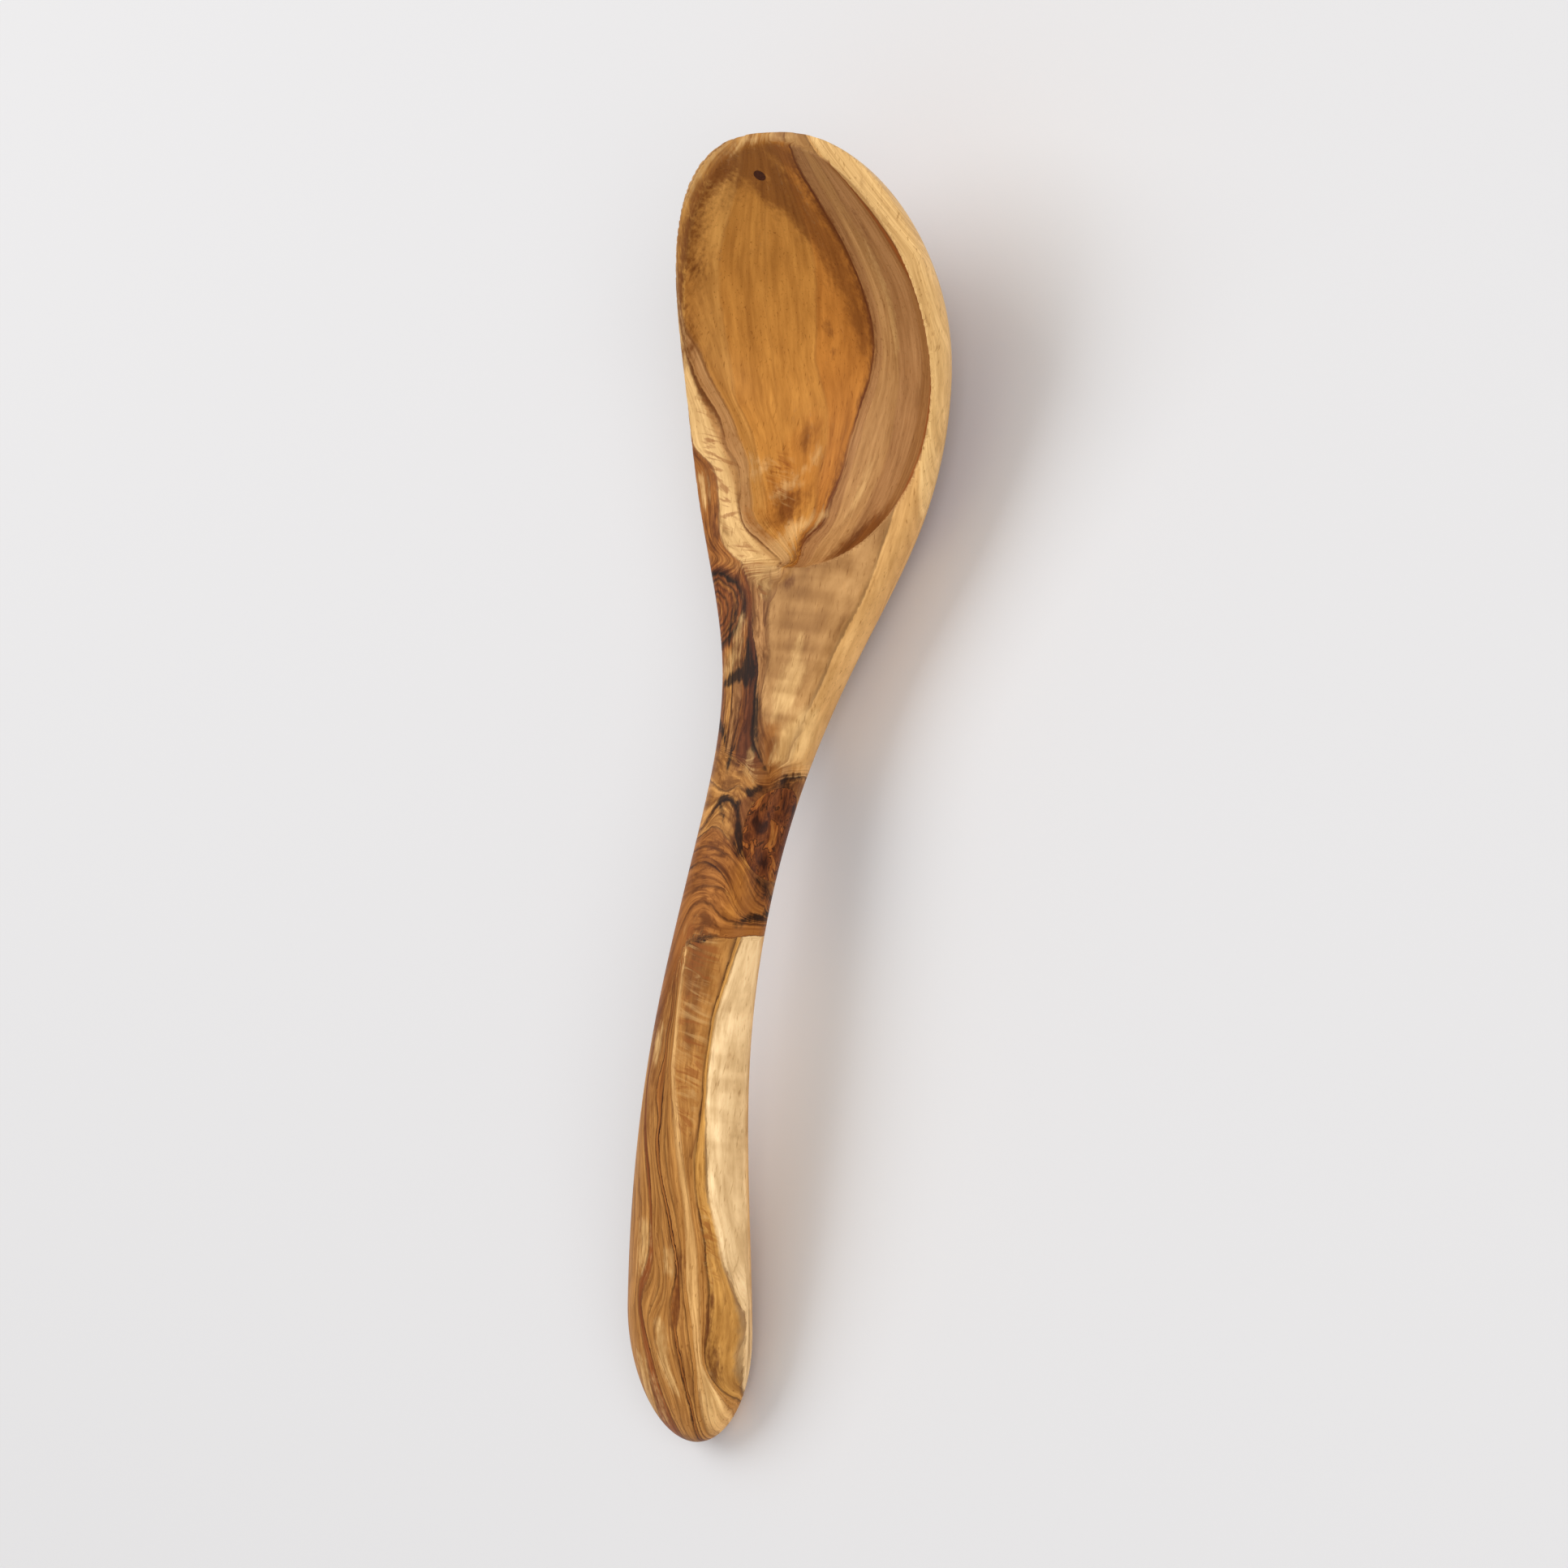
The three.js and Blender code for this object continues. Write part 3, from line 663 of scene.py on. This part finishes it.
# How much further down the neck's figure reaches on the right, where the neck shows its side
RIGHT_SIDE_SHOWN = 8.0

# How soft these changes are at the hollow's edge and start, and at the neck's first and last line
HOLLOW_EDGE_BLUR = 0.4
HOLLOW_START_BLUR = 0.5
NECK_START_BLUR = 0.6
NECK_END_BLUR = 1.0

# The place along the neck from which its grain is counted
NECK_MIDDLE = 150.0


def drawn(points, along):
    """Height of a drawn line, with its corners rounded off."""
    xs, ys = np.array(points, float).T
    return sum(np.interp(along + shift, xs, ys) for shift in CORNER_SHIFTS) / len(CORNER_SHIFTS)


def passed(lines, along, across, sense):
    """How far places lie past each line of a family, kept in the lines' order."""
    past = np.stack([sense * (across - drawn(points, along)) for _, _, points in lines[1]])
    for i in range(1, len(past)):
        past[i] = np.minimum(past[i], past[i - 1] - LEAST_GAP)
    return past


def strips(past):
    """Whole numbers on the lines of a family, and halves well inside the wood between them."""
    count = (past > 0).sum(0)
    places = np.arange(past.shape[1])
    before = np.where(count > 0, past[np.maximum(count, 1) - 1, places], np.inf)
    after = np.where(count < len(past), -past[np.minimum(count, len(past) - 1), places], np.inf)
    rise = 1 - np.exp(-before / LINE_REACH)
    fall = 1 - np.exp(-after / LINE_REACH)
    return count + rise / np.maximum(rise + fall, TINY)


def flow(past):
    """Even spacing across a family's lines, in which the fine grain is drawn."""
    gaps = np.maximum(past[:-1] - past[1:], LEAST_GAP)
    inner = np.clip(past[:-1] / gaps, 0, 1).sum(0)
    return GRAIN_SPACING * inner + np.minimum(past[0], 0) + np.maximum(past[-1], 0)


def stain(strokes, x, y, softness):
    """A half on a stroke's edge, more inside it and less outside."""
    best = np.zeros_like(x)
    for stroke in strokes:
        for (ax, ay, a_half), (bx, by, b_half) in zip(stroke, stroke[1:]):
            dx, dy = bx - ax, by - ay
            share = np.clip(((x - ax) * dx + (y - ay) * dy) / (dx * dx + dy * dy), 0, 1)
            inside = a_half + share * (b_half - a_half) - np.hypot(x - ax - share * dx, y - ay - share * dy)
            best = np.maximum(best, 0.5 + inside / (2 * softness))
    return np.clip(best, 0, 1)


def blend(share, first, second):
    return first + share * (second - first)


def bowl_share(x, y):
    """1 in the bowl's own figure: sharp at the hollow's right edge, soft at its left heel."""
    half, _, _ = hollow_section(x)
    in_hollow = smooth_step(-HOLLOW_EDGE_BLUR, HOLLOW_EDGE_BLUR, half + y)
    right = in_hollow * smooth_step(HOLLOW_START - HOLLOW_START_BLUR, HOLLOW_START + HOLLOW_START_BLUR, x)
    left = smooth_step(*HEEL_TO_BOWL_LEFT, x)
    return blend(smooth_step(*BOWL_RIGHT_TO_LEFT, y), right, left)


def grain_fields(mesh):
    """Smooth numbers on the mesh's points, from which the wood's material draws its lines, stains, painted
    shade and painted light.
    """
    flat = np.empty(len(mesh.vertices) * 3)
    mesh.vertices.foreach_get("co", flat)
    x, y, z = to_carving(flat.reshape(-1, 3)).T
    under = np.clip(top_height(x, y) - z, 0, None)
    shown = RIGHT_SIDE_SHOWN * (1 - smooth_step(*NECK_RIGHT_TO_LEFT, y))
    on_top = 1 - smooth_step(*NECK_DEPTH, under - shown)
    in_bowl = blend(smooth_step(*BOWL_DEPTH, under), bowl_share(x, y), smooth_step(*HEEL_TO_BOWL_BELOW, x))
    y = y - GRAIN_LEAN * under
    handle = passed(HANDLE_LINES, x, y, -1)
    heel = passed(HEEL_LINES, x, y, -1)
    bowl = passed(BOWL_LINES, x, y, -1)
    neck = passed(NECK_LINES, y, x, 1)
    past_neck = smooth_step(*NECK_TO_HEEL, x)
    neck_begun = smooth_step(-NECK_START_BLUR, NECK_START_BLUR, neck[0])
    neck_ended = smooth_step(-NECK_END_BLUR, NECK_END_BLUR, neck[-1])
    in_neck = on_top * neck_begun * (1 - neck_ended)
    spread = blend(in_bowl, blend(past_neck, flow(handle), flow(heel)), flow(bowl))
    swirl_x, swirl_y = SWIRL_CENTRE
    fields = {
        "handle_lines": strips(handle),
        "heel_lines": strips(heel),
        "bowl_lines": strips(bowl),
        "neck_lines": strips(neck),
        "swirl_rings": np.hypot(x - swirl_x, SWIRL_SQUASH * (y - swirl_y)),
        "past_neck": past_neck,
        "in_bowl": in_bowl,
        "on_top": on_top,
        "grain_across": blend(in_neck, spread, flow(neck)),
        "grain_along": blend(in_neck, x, NECK_MIDDLE + y),
    }
    for name, (softness, strokes) in STAINS.items():
        fields[name] = stain(strokes, x, y, softness)
    return fields


def write_fields(mesh, fields):
    for name, values in fields.items():
        layer = mesh.attributes.new(name, "FLOAT", "POINT")
        layer.data.foreach_set("value", values.astype(np.float32))


def tone(name):
    """Linear colour of a wood tone."""
    text = TONES[name]
    parts = [int(text[i:i + 2], 16) / 255 for i in (1, 3, 5)]
    return (*[p / 12.92 if p <= 0.04045 else ((p + 0.055) / 1.055) ** 2.4 for p in parts], 1.0)


def put(tree, kind, inputs=None, **settings):
    """Adds a node, with its settings and with values or links on its inputs."""
    node = tree.nodes.new(kind)
    for name, value in settings.items():
        setattr(node, name, value)
    for key, value in (inputs or {}).items():
        socket = node.inputs[key]
        if isinstance(value, bpy.types.NodeSocket):
            tree.links.new(value, socket)
        else:
            socket.default_value = value
    return node


def field(tree, name):
    return put(tree, "ShaderNodeAttribute", attribute_name=name).outputs["Fac"]


def math_node(tree, operation, *values):
    inputs = dict(enumerate(values))
    return put(tree, "ShaderNodeMath", inputs, operation=operation).outputs[0]


def times(tree, first, second):
    return math_node(tree, "MULTIPLY", first, second)


def sway(tree, value, wave, amount):
    """A value moved up and down by a noise around a half."""
    centred = math_node(tree, "SUBTRACT", wave, 0.5)
    return math_node(tree, "MULTIPLY_ADD", centred, amount, value)


def step_node(tree, value, low, high, to_low=0.0, to_high=1.0):
    """Goes smoothly from one number to another between a low and a high value."""
    inputs = {"Value": value, "From Min": low, "From Max": high, "To Min": to_low, "To Max": to_high}
    return put(tree, "ShaderNodeMapRange", inputs, interpolation_type="SMOOTHSTEP").outputs["Result"]


def mix(tree, share, first, second, blend_type="MIX"):
    inputs = {0: share, 6: first, 7: second}
    return put(tree, "ShaderNodeMix", inputs, data_type="RGBA", blend_type=blend_type).outputs[2]


def warm_shade(tree, value):
    """A factor for a colour, redder below 1 and paler above it, as wood is."""
    green = math_node(tree, "POWER", value, 1.25)
    blue = math_node(tree, "POWER", value, 1.6)
    return put(tree, "ShaderNodeCombineColor", {0: value, 1: green, 2: blue}).outputs[0]


def tinted(tree, shade, value, low, high, at_low, at_high):
    """A colour times a brightness that goes from one number to another as a value rises."""
    brightness = step_node(tree, value, low, high, at_low, at_high)
    return mix(tree, 1.0, shade, warm_shade(tree, brightness), "MULTIPLY")


def ramp(tree, value, top, stops):
    """Colours against a value that runs from 0 to top."""
    share = math_node(tree, "DIVIDE", value, float(top))
    node = put(tree, "ShaderNodeValToRGB", {"Fac": share})
    elements = node.color_ramp.elements
    while len(elements) < len(stops):
        elements.new(1.0)
    for element, (place, shade) in zip(elements, stops):
        element.position = place / top
        element.color = shade
    return node.outputs["Color"]


def stretched(tree, scale):
    """Object coordinates in millimetres, times a scale along each axis."""
    place = put(tree, "ShaderNodeTexCoord").outputs["Object"]
    factor = tuple(s / MILLIMETRE for s in scale)
    inputs = {0: place, 1: factor}
    return put(tree, "ShaderNodeVectorMath", inputs, operation="MULTIPLY").outputs["Vector"]


def noise(tree, vector, detail=2.0, roughness=0.5, distortion=0.0):
    return put(tree, "ShaderNodeTexNoise", {
        "Vector": vector,
        "Scale": 1.0,
        "Detail": detail,
        "Roughness": roughness,
        "Distortion": distortion,
    }).outputs["Fac"]


def grain_noise(tree, along, across, detail=3.0, roughness=0.55, distortion=0.0, slant=0.0):
    """Noise that follows the drawn grain, with a scale along it and one across it."""
    grain_across = field(tree, "grain_across")
    slanted = math_node(tree, "MULTIPLY_ADD", grain_across, slant, field(tree, "grain_along"))
    vector = put(tree, "ShaderNodeCombineXYZ", {
        "X": times(tree, slanted, along),
        "Y": times(tree, grain_across, across),
    })
    return noise(tree, vector.outputs[0], detail, roughness, distortion)


# Share of a strip over which its tone changes, and where a vein starts, is darkest and ends
TONE_CHANGE = 0.26
VEIN_START = 0.36
VEIN_CORE = 0.05
VEIN_END = 0.17

# How sharply the neck's figure starts at its first line and ends at its last one
NECK_FIRST_SHARPNESS = 0.06
NECK_LAST_SHARPNESS = 0.1


def family(tree, value, lines, vein_tone="dark"):
    """Tones of one family of lines with its veins, which come and go along the grain."""
    before, strands = lines
    top = len(strands) + 1
    stops = []
    veins = []
    for place, (after, vein, _) in enumerate(strands, 1):
        stops += [(place - TONE_CHANGE, tone(before)), (place + TONE_CHANGE, tone(after))]
        veins.append((place, (vein, vein, vein, 1.0)))
        before = after
    shade = ramp(tree, value, top, stops)
    nearest = math_node(tree, "ROUND", value)
    offset = math_node(tree, "SUBTRACT", value, nearest)
    rise = step_node(tree, offset, -VEIN_START, -VEIN_CORE)
    fall = step_node(tree, offset, VEIN_CORE, VEIN_END, 1.0, 0.0)
    coming = step_node(tree, grain_noise(tree, along=0.05, across=0.4), 0.3, 0.6, 0.3, 1.0)
    strength = times(tree, math_node(tree, "MINIMUM", rise, fall), coming)
    strength = times(tree, strength, ramp(tree, nearest, top, veins))
    return mix(tree, strength, shade, tone(vein_tone))


def wavers(tree):
    """Noises that take drawn lines and stains off their smooth course."""
    return {
        "broad": noise(tree, stretched(tree, (0.1, 0.25, 0.25)), detail=3),
        "fine": noise(tree, stretched(tree, (0.5, 1.0, 1.0)), detail=4),
        "streaks": grain_noise(tree, along=0.07, across=0.9, detail=4),
    }


def wavering(tree, waver, name, broad, fine, coarse="broad"):
    """A field of the mesh, moved by a coarse and a fine noise."""
    return sway(tree, sway(tree, field(tree, name), waver[coarse], broad), waver["fine"], fine)


def drawn_figure(tree, waver):
    """The four families of lines: handle, heel and bowl along the ladle, and the neck over them."""
    handle = family(tree, wavering(tree, waver, "handle_lines", 0.45, 0.225), HANDLE_LINES)
    heel = family(tree, wavering(tree, waver, "heel_lines", 0.5, 0.25), HEEL_LINES)
    bowl = family(tree, wavering(tree, waver, "bowl_lines", 0.4, 0.2), BOWL_LINES, "umber")
    shade = mix(tree, field(tree, "past_neck"), handle, heel)
    shade = mix(tree, field(tree, "in_bowl"), shade, bowl)
    neck = wavering(tree, waver, "neck_lines", 0.5, 0.25)
    last = len(NECK_LINES[1])
    begun = step_node(tree, neck, 1 - NECK_FIRST_SHARPNESS, 1 + NECK_FIRST_SHARPNESS)
    not_ended = step_node(tree, neck, last - NECK_LAST_SHARPNESS, last + NECK_LAST_SHARPNESS, 1.0, 0.0)
    in_neck = times(tree, times(tree, begun, not_ended), field(tree, "on_top"))
    return mix(tree, in_neck, shade, family(tree, neck, NECK_LINES))


def swirled(tree, waver, shade):
    """Rings around the swirl on the left of the heel."""
    rings = wavering(tree, waver, "swirl_rings", 2.4, 1.2)
    reach, _ = SWIRL_TONES[-1]
    swirl = ramp(tree, rings, reach, [(place, tone(name)) for place, name in SWIRL_TONES])
    return mix(tree, step_node(tree, rings, *SWIRL_FADE, 0.95, 0.0), shade, swirl)


def stained(tree, waver, shade, name, tint, strength, low, high):
    """A stain that feathers out along the grain; the dark and pale kinds also carry painted shade and
    painted light.
    """
    feathered = wavering(tree, waver, name, 1.5, 0.8, coarse="streaks")
    return mix(tree, step_node(tree, feathered, low, high, 0.0, strength), shade, tone(tint))


def clouded_and_shaded(tree, waver, shade):
    """Brown clouds with edges that don't follow the grain: stains, and painted shade in the bowl."""
    cloudy = wavering(tree, waver, "cloud_stain_and_shade", 1.2, 0.6)
    return mix(tree, step_node(tree, cloudy, 0.1, 0.9, 0.0, 0.78), shade, tone("bark"))


def growth_ringed(tree, shade):
    """Thin dark growth rings, which come and go and are faint in the bowl and in calm wood."""
    across = times(tree, field(tree, "grain_across"), 0.5)
    wander = grain_noise(tree, along=0.02, across=0.25, detail=2)
    ring = math_node(tree, "FRACT", math_node(tree, "MULTIPLY_ADD", wander, 6.0, across))
    coming = step_node(tree, grain_noise(tree, along=0.03, across=0.3), 0.36, 0.62, 0.0, 0.62)
    coming = times(tree, coming, step_node(tree, field(tree, "in_bowl"), 0.0, 1.0, 1.0, 0.12))
    coming = times(tree, coming, step_node(tree, field(tree, "calm"), 0.0, 0.6, 1.0, 0.1))
    strength = times(tree, math_node(tree, "POWER", ring, 5.0), coming)
    return mix(tree, strength, shade, tone("umber"))


def burled(tree, shade):
    """Twisted dark and bright flecks in the burl of neck and heel."""
    burl = grain_noise(tree, along=0.13, across=0.7, detail=5, roughness=0.6, distortion=1.4)
    flecked = tinted(tree, shade, burl, low=0.32, high=0.68, at_low=0.52, at_high=1.34)
    return mix(tree, step_node(tree, field(tree, "burl"), 0.1, 0.7), shade, flecked)


def fibrous(tree, shade, grain):
    """Broad tone, fibres that are faint in the bowl and in calm wood, fine grain and pores."""
    broad = grain_noise(tree, along=0.015, across=0.35)
    shade = tinted(tree, shade, broad, low=0.25, high=0.75, at_low=0.84, at_high=1.16)
    fibre = grain_noise(tree, along=0.08, across=0.8, detail=4, roughness=0.6)
    with_fibres = tinted(tree, shade, fibre, low=0.3, high=0.7, at_low=0.74, at_high=1.22)
    calm = math_node(tree, "MAXIMUM", field(tree, "in_bowl"), field(tree, "calm"))
    shade = mix(tree, step_node(tree, calm, 0.0, 1.0, 1.0, 0.28), shade, with_fibres)
    shade = tinted(tree, shade, grain, low=0.25, high=0.75, at_low=0.82, at_high=1.16)
    pores = noise(tree, stretched(tree, (0.3, 2.0, 2.0)), detail=2)
    return tinted(tree, shade, pores, low=0.6, high=0.74, at_low=1.0, at_high=0.7)


def curled(tree, shade):
    """Dark and bright ripples across the grain where the wood is curly."""
    in_curl = step_node(tree, field(tree, "curl"), 0.15, 0.8)
    ripple = grain_noise(tree, along=0.4, across=0.26, detail=4, roughness=0.5, distortion=1.5, slant=0.5)
    dark_share = times(tree, in_curl, step_node(tree, ripple, 0.38, 0.5, 0.6, 0.0))
    shade = mix(tree, dark_share, shade, tone("russet"))
    bright_share = times(tree, in_curl, step_node(tree, ripple, 0.52, 0.7, 0.0, 0.34))
    return mix(tree, bright_share, shade, tone("blond"))


def barred(tree, shade):
    """Broad soft bars across the heel and the pale side of the handle."""
    cloud = grain_noise(tree, along=0.2, across=0.12, detail=2, roughness=0.4)
    with_bars = tinted(tree, shade, cloud, low=0.38, high=0.64, at_low=0.84, at_high=1.2)
    return mix(tree, field(tree, "bars"), shade, with_bars)


def wood_colour(tree, grain):
    """The figure of the wood with painted shade and light in the bowl, from the drawn lines up to the
    finest grain.
    """
    waver = wavers(tree)
    shade = drawn_figure(tree, waver)
    shade = swirled(tree, waver, shade)
    shade = stained(tree, waver, shade, "amber_stain", "amber", strength=0.65, low=0.1, high=0.9)
    shade = stained(tree, waver, shade, "dark_stain_and_shade", "umber", strength=0.85, low=0.2, high=0.9)
    shade = clouded_and_shaded(tree, waver, shade)
    shade = stained(tree, waver, shade, "pale_stain_and_light", "blond", strength=0.68, low=0.2, high=0.95)
    shade = growth_ringed(tree, shade)
    shade = burled(tree, shade)
    shade = stained(tree, waver, shade, "black_stain", "black", strength=0.9, low=0.3, high=0.85)
    shade = fibrous(tree, shade, grain)
    shade = curled(tree, shade)
    return barred(tree, shade)


# How strongly both woods mirror the light
OILED_SHINE = 0.1


def empty_material(name):
    material = bpy.data.materials.new(name)
    material.use_nodes = True
    material.node_tree.nodes.clear()
    return material


def oiled_surface(tree, shade, roughness, relief, strength, depth):
    """A satin surface with a fine relief, whose depth is in metres."""
    bump = put(tree, "ShaderNodeBump", {"Height": relief, "Strength": strength, "Distance": depth})
    shader = put(tree, "ShaderNodeBsdfPrincipled", {
        "Base Color": shade,
        "Roughness": roughness,
        "Specular IOR Level": OILED_SHINE,
        "Normal": bump.outputs["Normal"],
    })
    put(tree, "ShaderNodeOutputMaterial", {"Surface": shader.outputs[0]})


def olive_wood():
    material = empty_material("olive_wood")
    tree = material.node_tree
    grain = grain_noise(tree, along=0.1, across=2.2, detail=4, roughness=0.6)
    shade = wood_colour(tree, grain)
    wear = noise(tree, stretched(tree, (0.03, 0.06, 0.06)), detail=4)
    roughness = step_node(tree, wear, 0.3, 0.7, 0.38, 0.52)
    oiled_surface(tree, shade, roughness, grain, strength=0.2, depth=0.1 * MILLIMETRE)
    return material


# Tones of a knot against the noise that clouds it, and where in that noise its cracks lie
KNOT_TONES = [
    (0.25, "black"), (0.38, "dark"), (0.47, "umber"), (0.56, "russet"), (0.63, "oak"), (0.7, "umber"),
]
KNOT_CRACKS_AT = 0.53
KNOT_CRACK_WIDTH = 0.03


def dark_knot():
    """Resin-dark wood with amber windows and black cracks."""
    material = empty_material("dark_knot")
    tree = material.node_tree
    cloud = noise(tree, stretched(tree, (0.15, 0.26, 0.26)), detail=4, distortion=0.8)
    cloud = math_node(tree, "MINIMUM", cloud, field(tree, "window"))
    shade = ramp(tree, cloud, 1, [(place, tone(name)) for place, name in KNOT_TONES])
    from_crack = math_node(tree, "ABSOLUTE", math_node(tree, "SUBTRACT", cloud, KNOT_CRACKS_AT))
    crack = step_node(tree, from_crack, 0.0, KNOT_CRACK_WIDTH, 0.8, 0.0)
    shade = mix(tree, crack, shade, tone("black"))
    fibre = noise(tree, stretched(tree, (0.4, 2.0, 2.0)), detail=3)
    shade = tinted(tree, shade, fibre, low=0.3, high=0.7, at_low=0.7, at_high=1.2)
    roughness = step_node(tree, cloud, 0.3, 0.7, 0.36, 0.5)
    oiled_surface(tree, shade, roughness, fibre, strength=0.3, depth=0.12 * MILLIMETRE)
    return material


def add_ladle():
    """The three pieces, each in place of its CAD node."""
    looks = {"olive_wood": olive_wood(), "dark_knot": dark_knot()}
    slots = {"ladle_body": "olive_wood", "neck_knot": "dark_knot", "bowl_pin_knot": "dark_knot"}
    for node, mesh in ladle_meshes().items():
        if node == "ladle_body":
            write_fields(mesh, grain_fields(mesh))
        else:
            write_fields(mesh, {"window": np.full(len(mesh.vertices), KNOT_WINDOWS[node])})
        mesh.materials.clear()
        mesh.materials.append(looks[slots[node]])
        piece = new_object("carved_" + node, mesh)
        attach(piece, "root")
        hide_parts(node)


# The view: off the vertical towards the ladle's right, with the bowl leaning to the right in the picture
VIEW_TILT = math.radians(41.5)
VIEW_LEAN = math.radians(9.4)
VIEW_DISTANCE = 0.6757
VIEW_TARGET = Vector((0, 0, 0.015))
NEAREST_SEEN = 0.01
FOCAL_LENGTH = 65.22
SENSOR_WIDTH = 36.0
PICTURE_SIZE = 1932
TARGET_PIXEL = (945.6, 998.0)


def add_camera():
    back = Vector((0, -math.sin(VIEW_TILT), math.cos(VIEW_TILT)))
    bowl_way = Vector((1, 0, 0))
    side = bowl_way.cross(back)
    right = side * math.cos(VIEW_LEAN) + bowl_way * math.sin(VIEW_LEAN)
    up = bowl_way * math.cos(VIEW_LEAN) - side * math.sin(VIEW_LEAN)
    data = bpy.data.cameras.new("camera")
    data.lens = FOCAL_LENGTH
    data.sensor_width = SENSOR_WIDTH
    data.shift_x = (PICTURE_SIZE / 2 - TARGET_PIXEL[0]) / PICTURE_SIZE
    data.shift_y = (TARGET_PIXEL[1] - PICTURE_SIZE / 2) / PICTURE_SIZE
    data.clip_start = NEAREST_SEEN
    camera = new_object("camera", data)
    turn = Matrix((right, up, back)).transposed().to_4x4()
    camera.matrix_world = Matrix.Translation(VIEW_TARGET + back * VIEW_DISTANCE) @ turn
    bpy.context.scene.camera = camera


# The floor, a little below the ladle so that the two don't touch
FLOOR_SIZE = 3.0
FLOOR_DROP = 0.4 * MILLIMETRE
FLOOR_COLOUR = (0.83, 0.82, 0.825, 1)
FLOOR_ROUGHNESS = 0.7


def add_floor():
    maker = bmesh.new()
    bmesh.ops.create_grid(maker, x_segments=1, y_segments=1, size=FLOOR_SIZE)
    mesh = bpy.data.meshes.new("floor")
    maker.to_mesh(mesh)
    maker.free()
    floor = new_object("floor", mesh)
    floor.location.z = -FLOOR_DROP
    material = bpy.data.materials.new("floor")
    material.use_nodes = True
    shader = material.node_tree.nodes["Principled BSDF"]
    shader.inputs["Base Color"].default_value = FLOOR_COLOUR
    shader.inputs["Roughness"].default_value = FLOOR_ROUGHNESS
    mesh.materials.append(material)


# Lamps, each with its place, size and power, and the strength of the white light from all around
LAMPS = {
    "key": ((0.5, 1.1, 1.6), 1.6, 19.0),
    "fill": ((0.1, -1.5, 1.4), 1.4, 15.0),
}
SKY_STRENGTH = 0.45


def add_lamp(name, place, size, power):
    data = bpy.data.lights.new(name, "AREA")
    data.size = size
    data.energy = power
    lamp = new_object(name, data)
    lamp.location = place
    lamp.rotation_euler = (VIEW_TARGET - Vector(place)).to_track_quat("-Z", "Y").to_euler()


def add_light():
    for name, (place, size, power) in LAMPS.items():
        add_lamp(name, place, size, power)
    world = bpy.data.worlds.new("studio")
    world.use_nodes = True
    sky = world.node_tree.nodes["Background"]
    sky.inputs["Color"].default_value = (1, 1, 1, 1)
    sky.inputs["Strength"].default_value = SKY_STRENGTH
    bpy.context.scene.world = world


add_camera()
add_floor()
add_light()
add_ladle()
bpy.context.scene.view_settings.view_transform = "Standard"
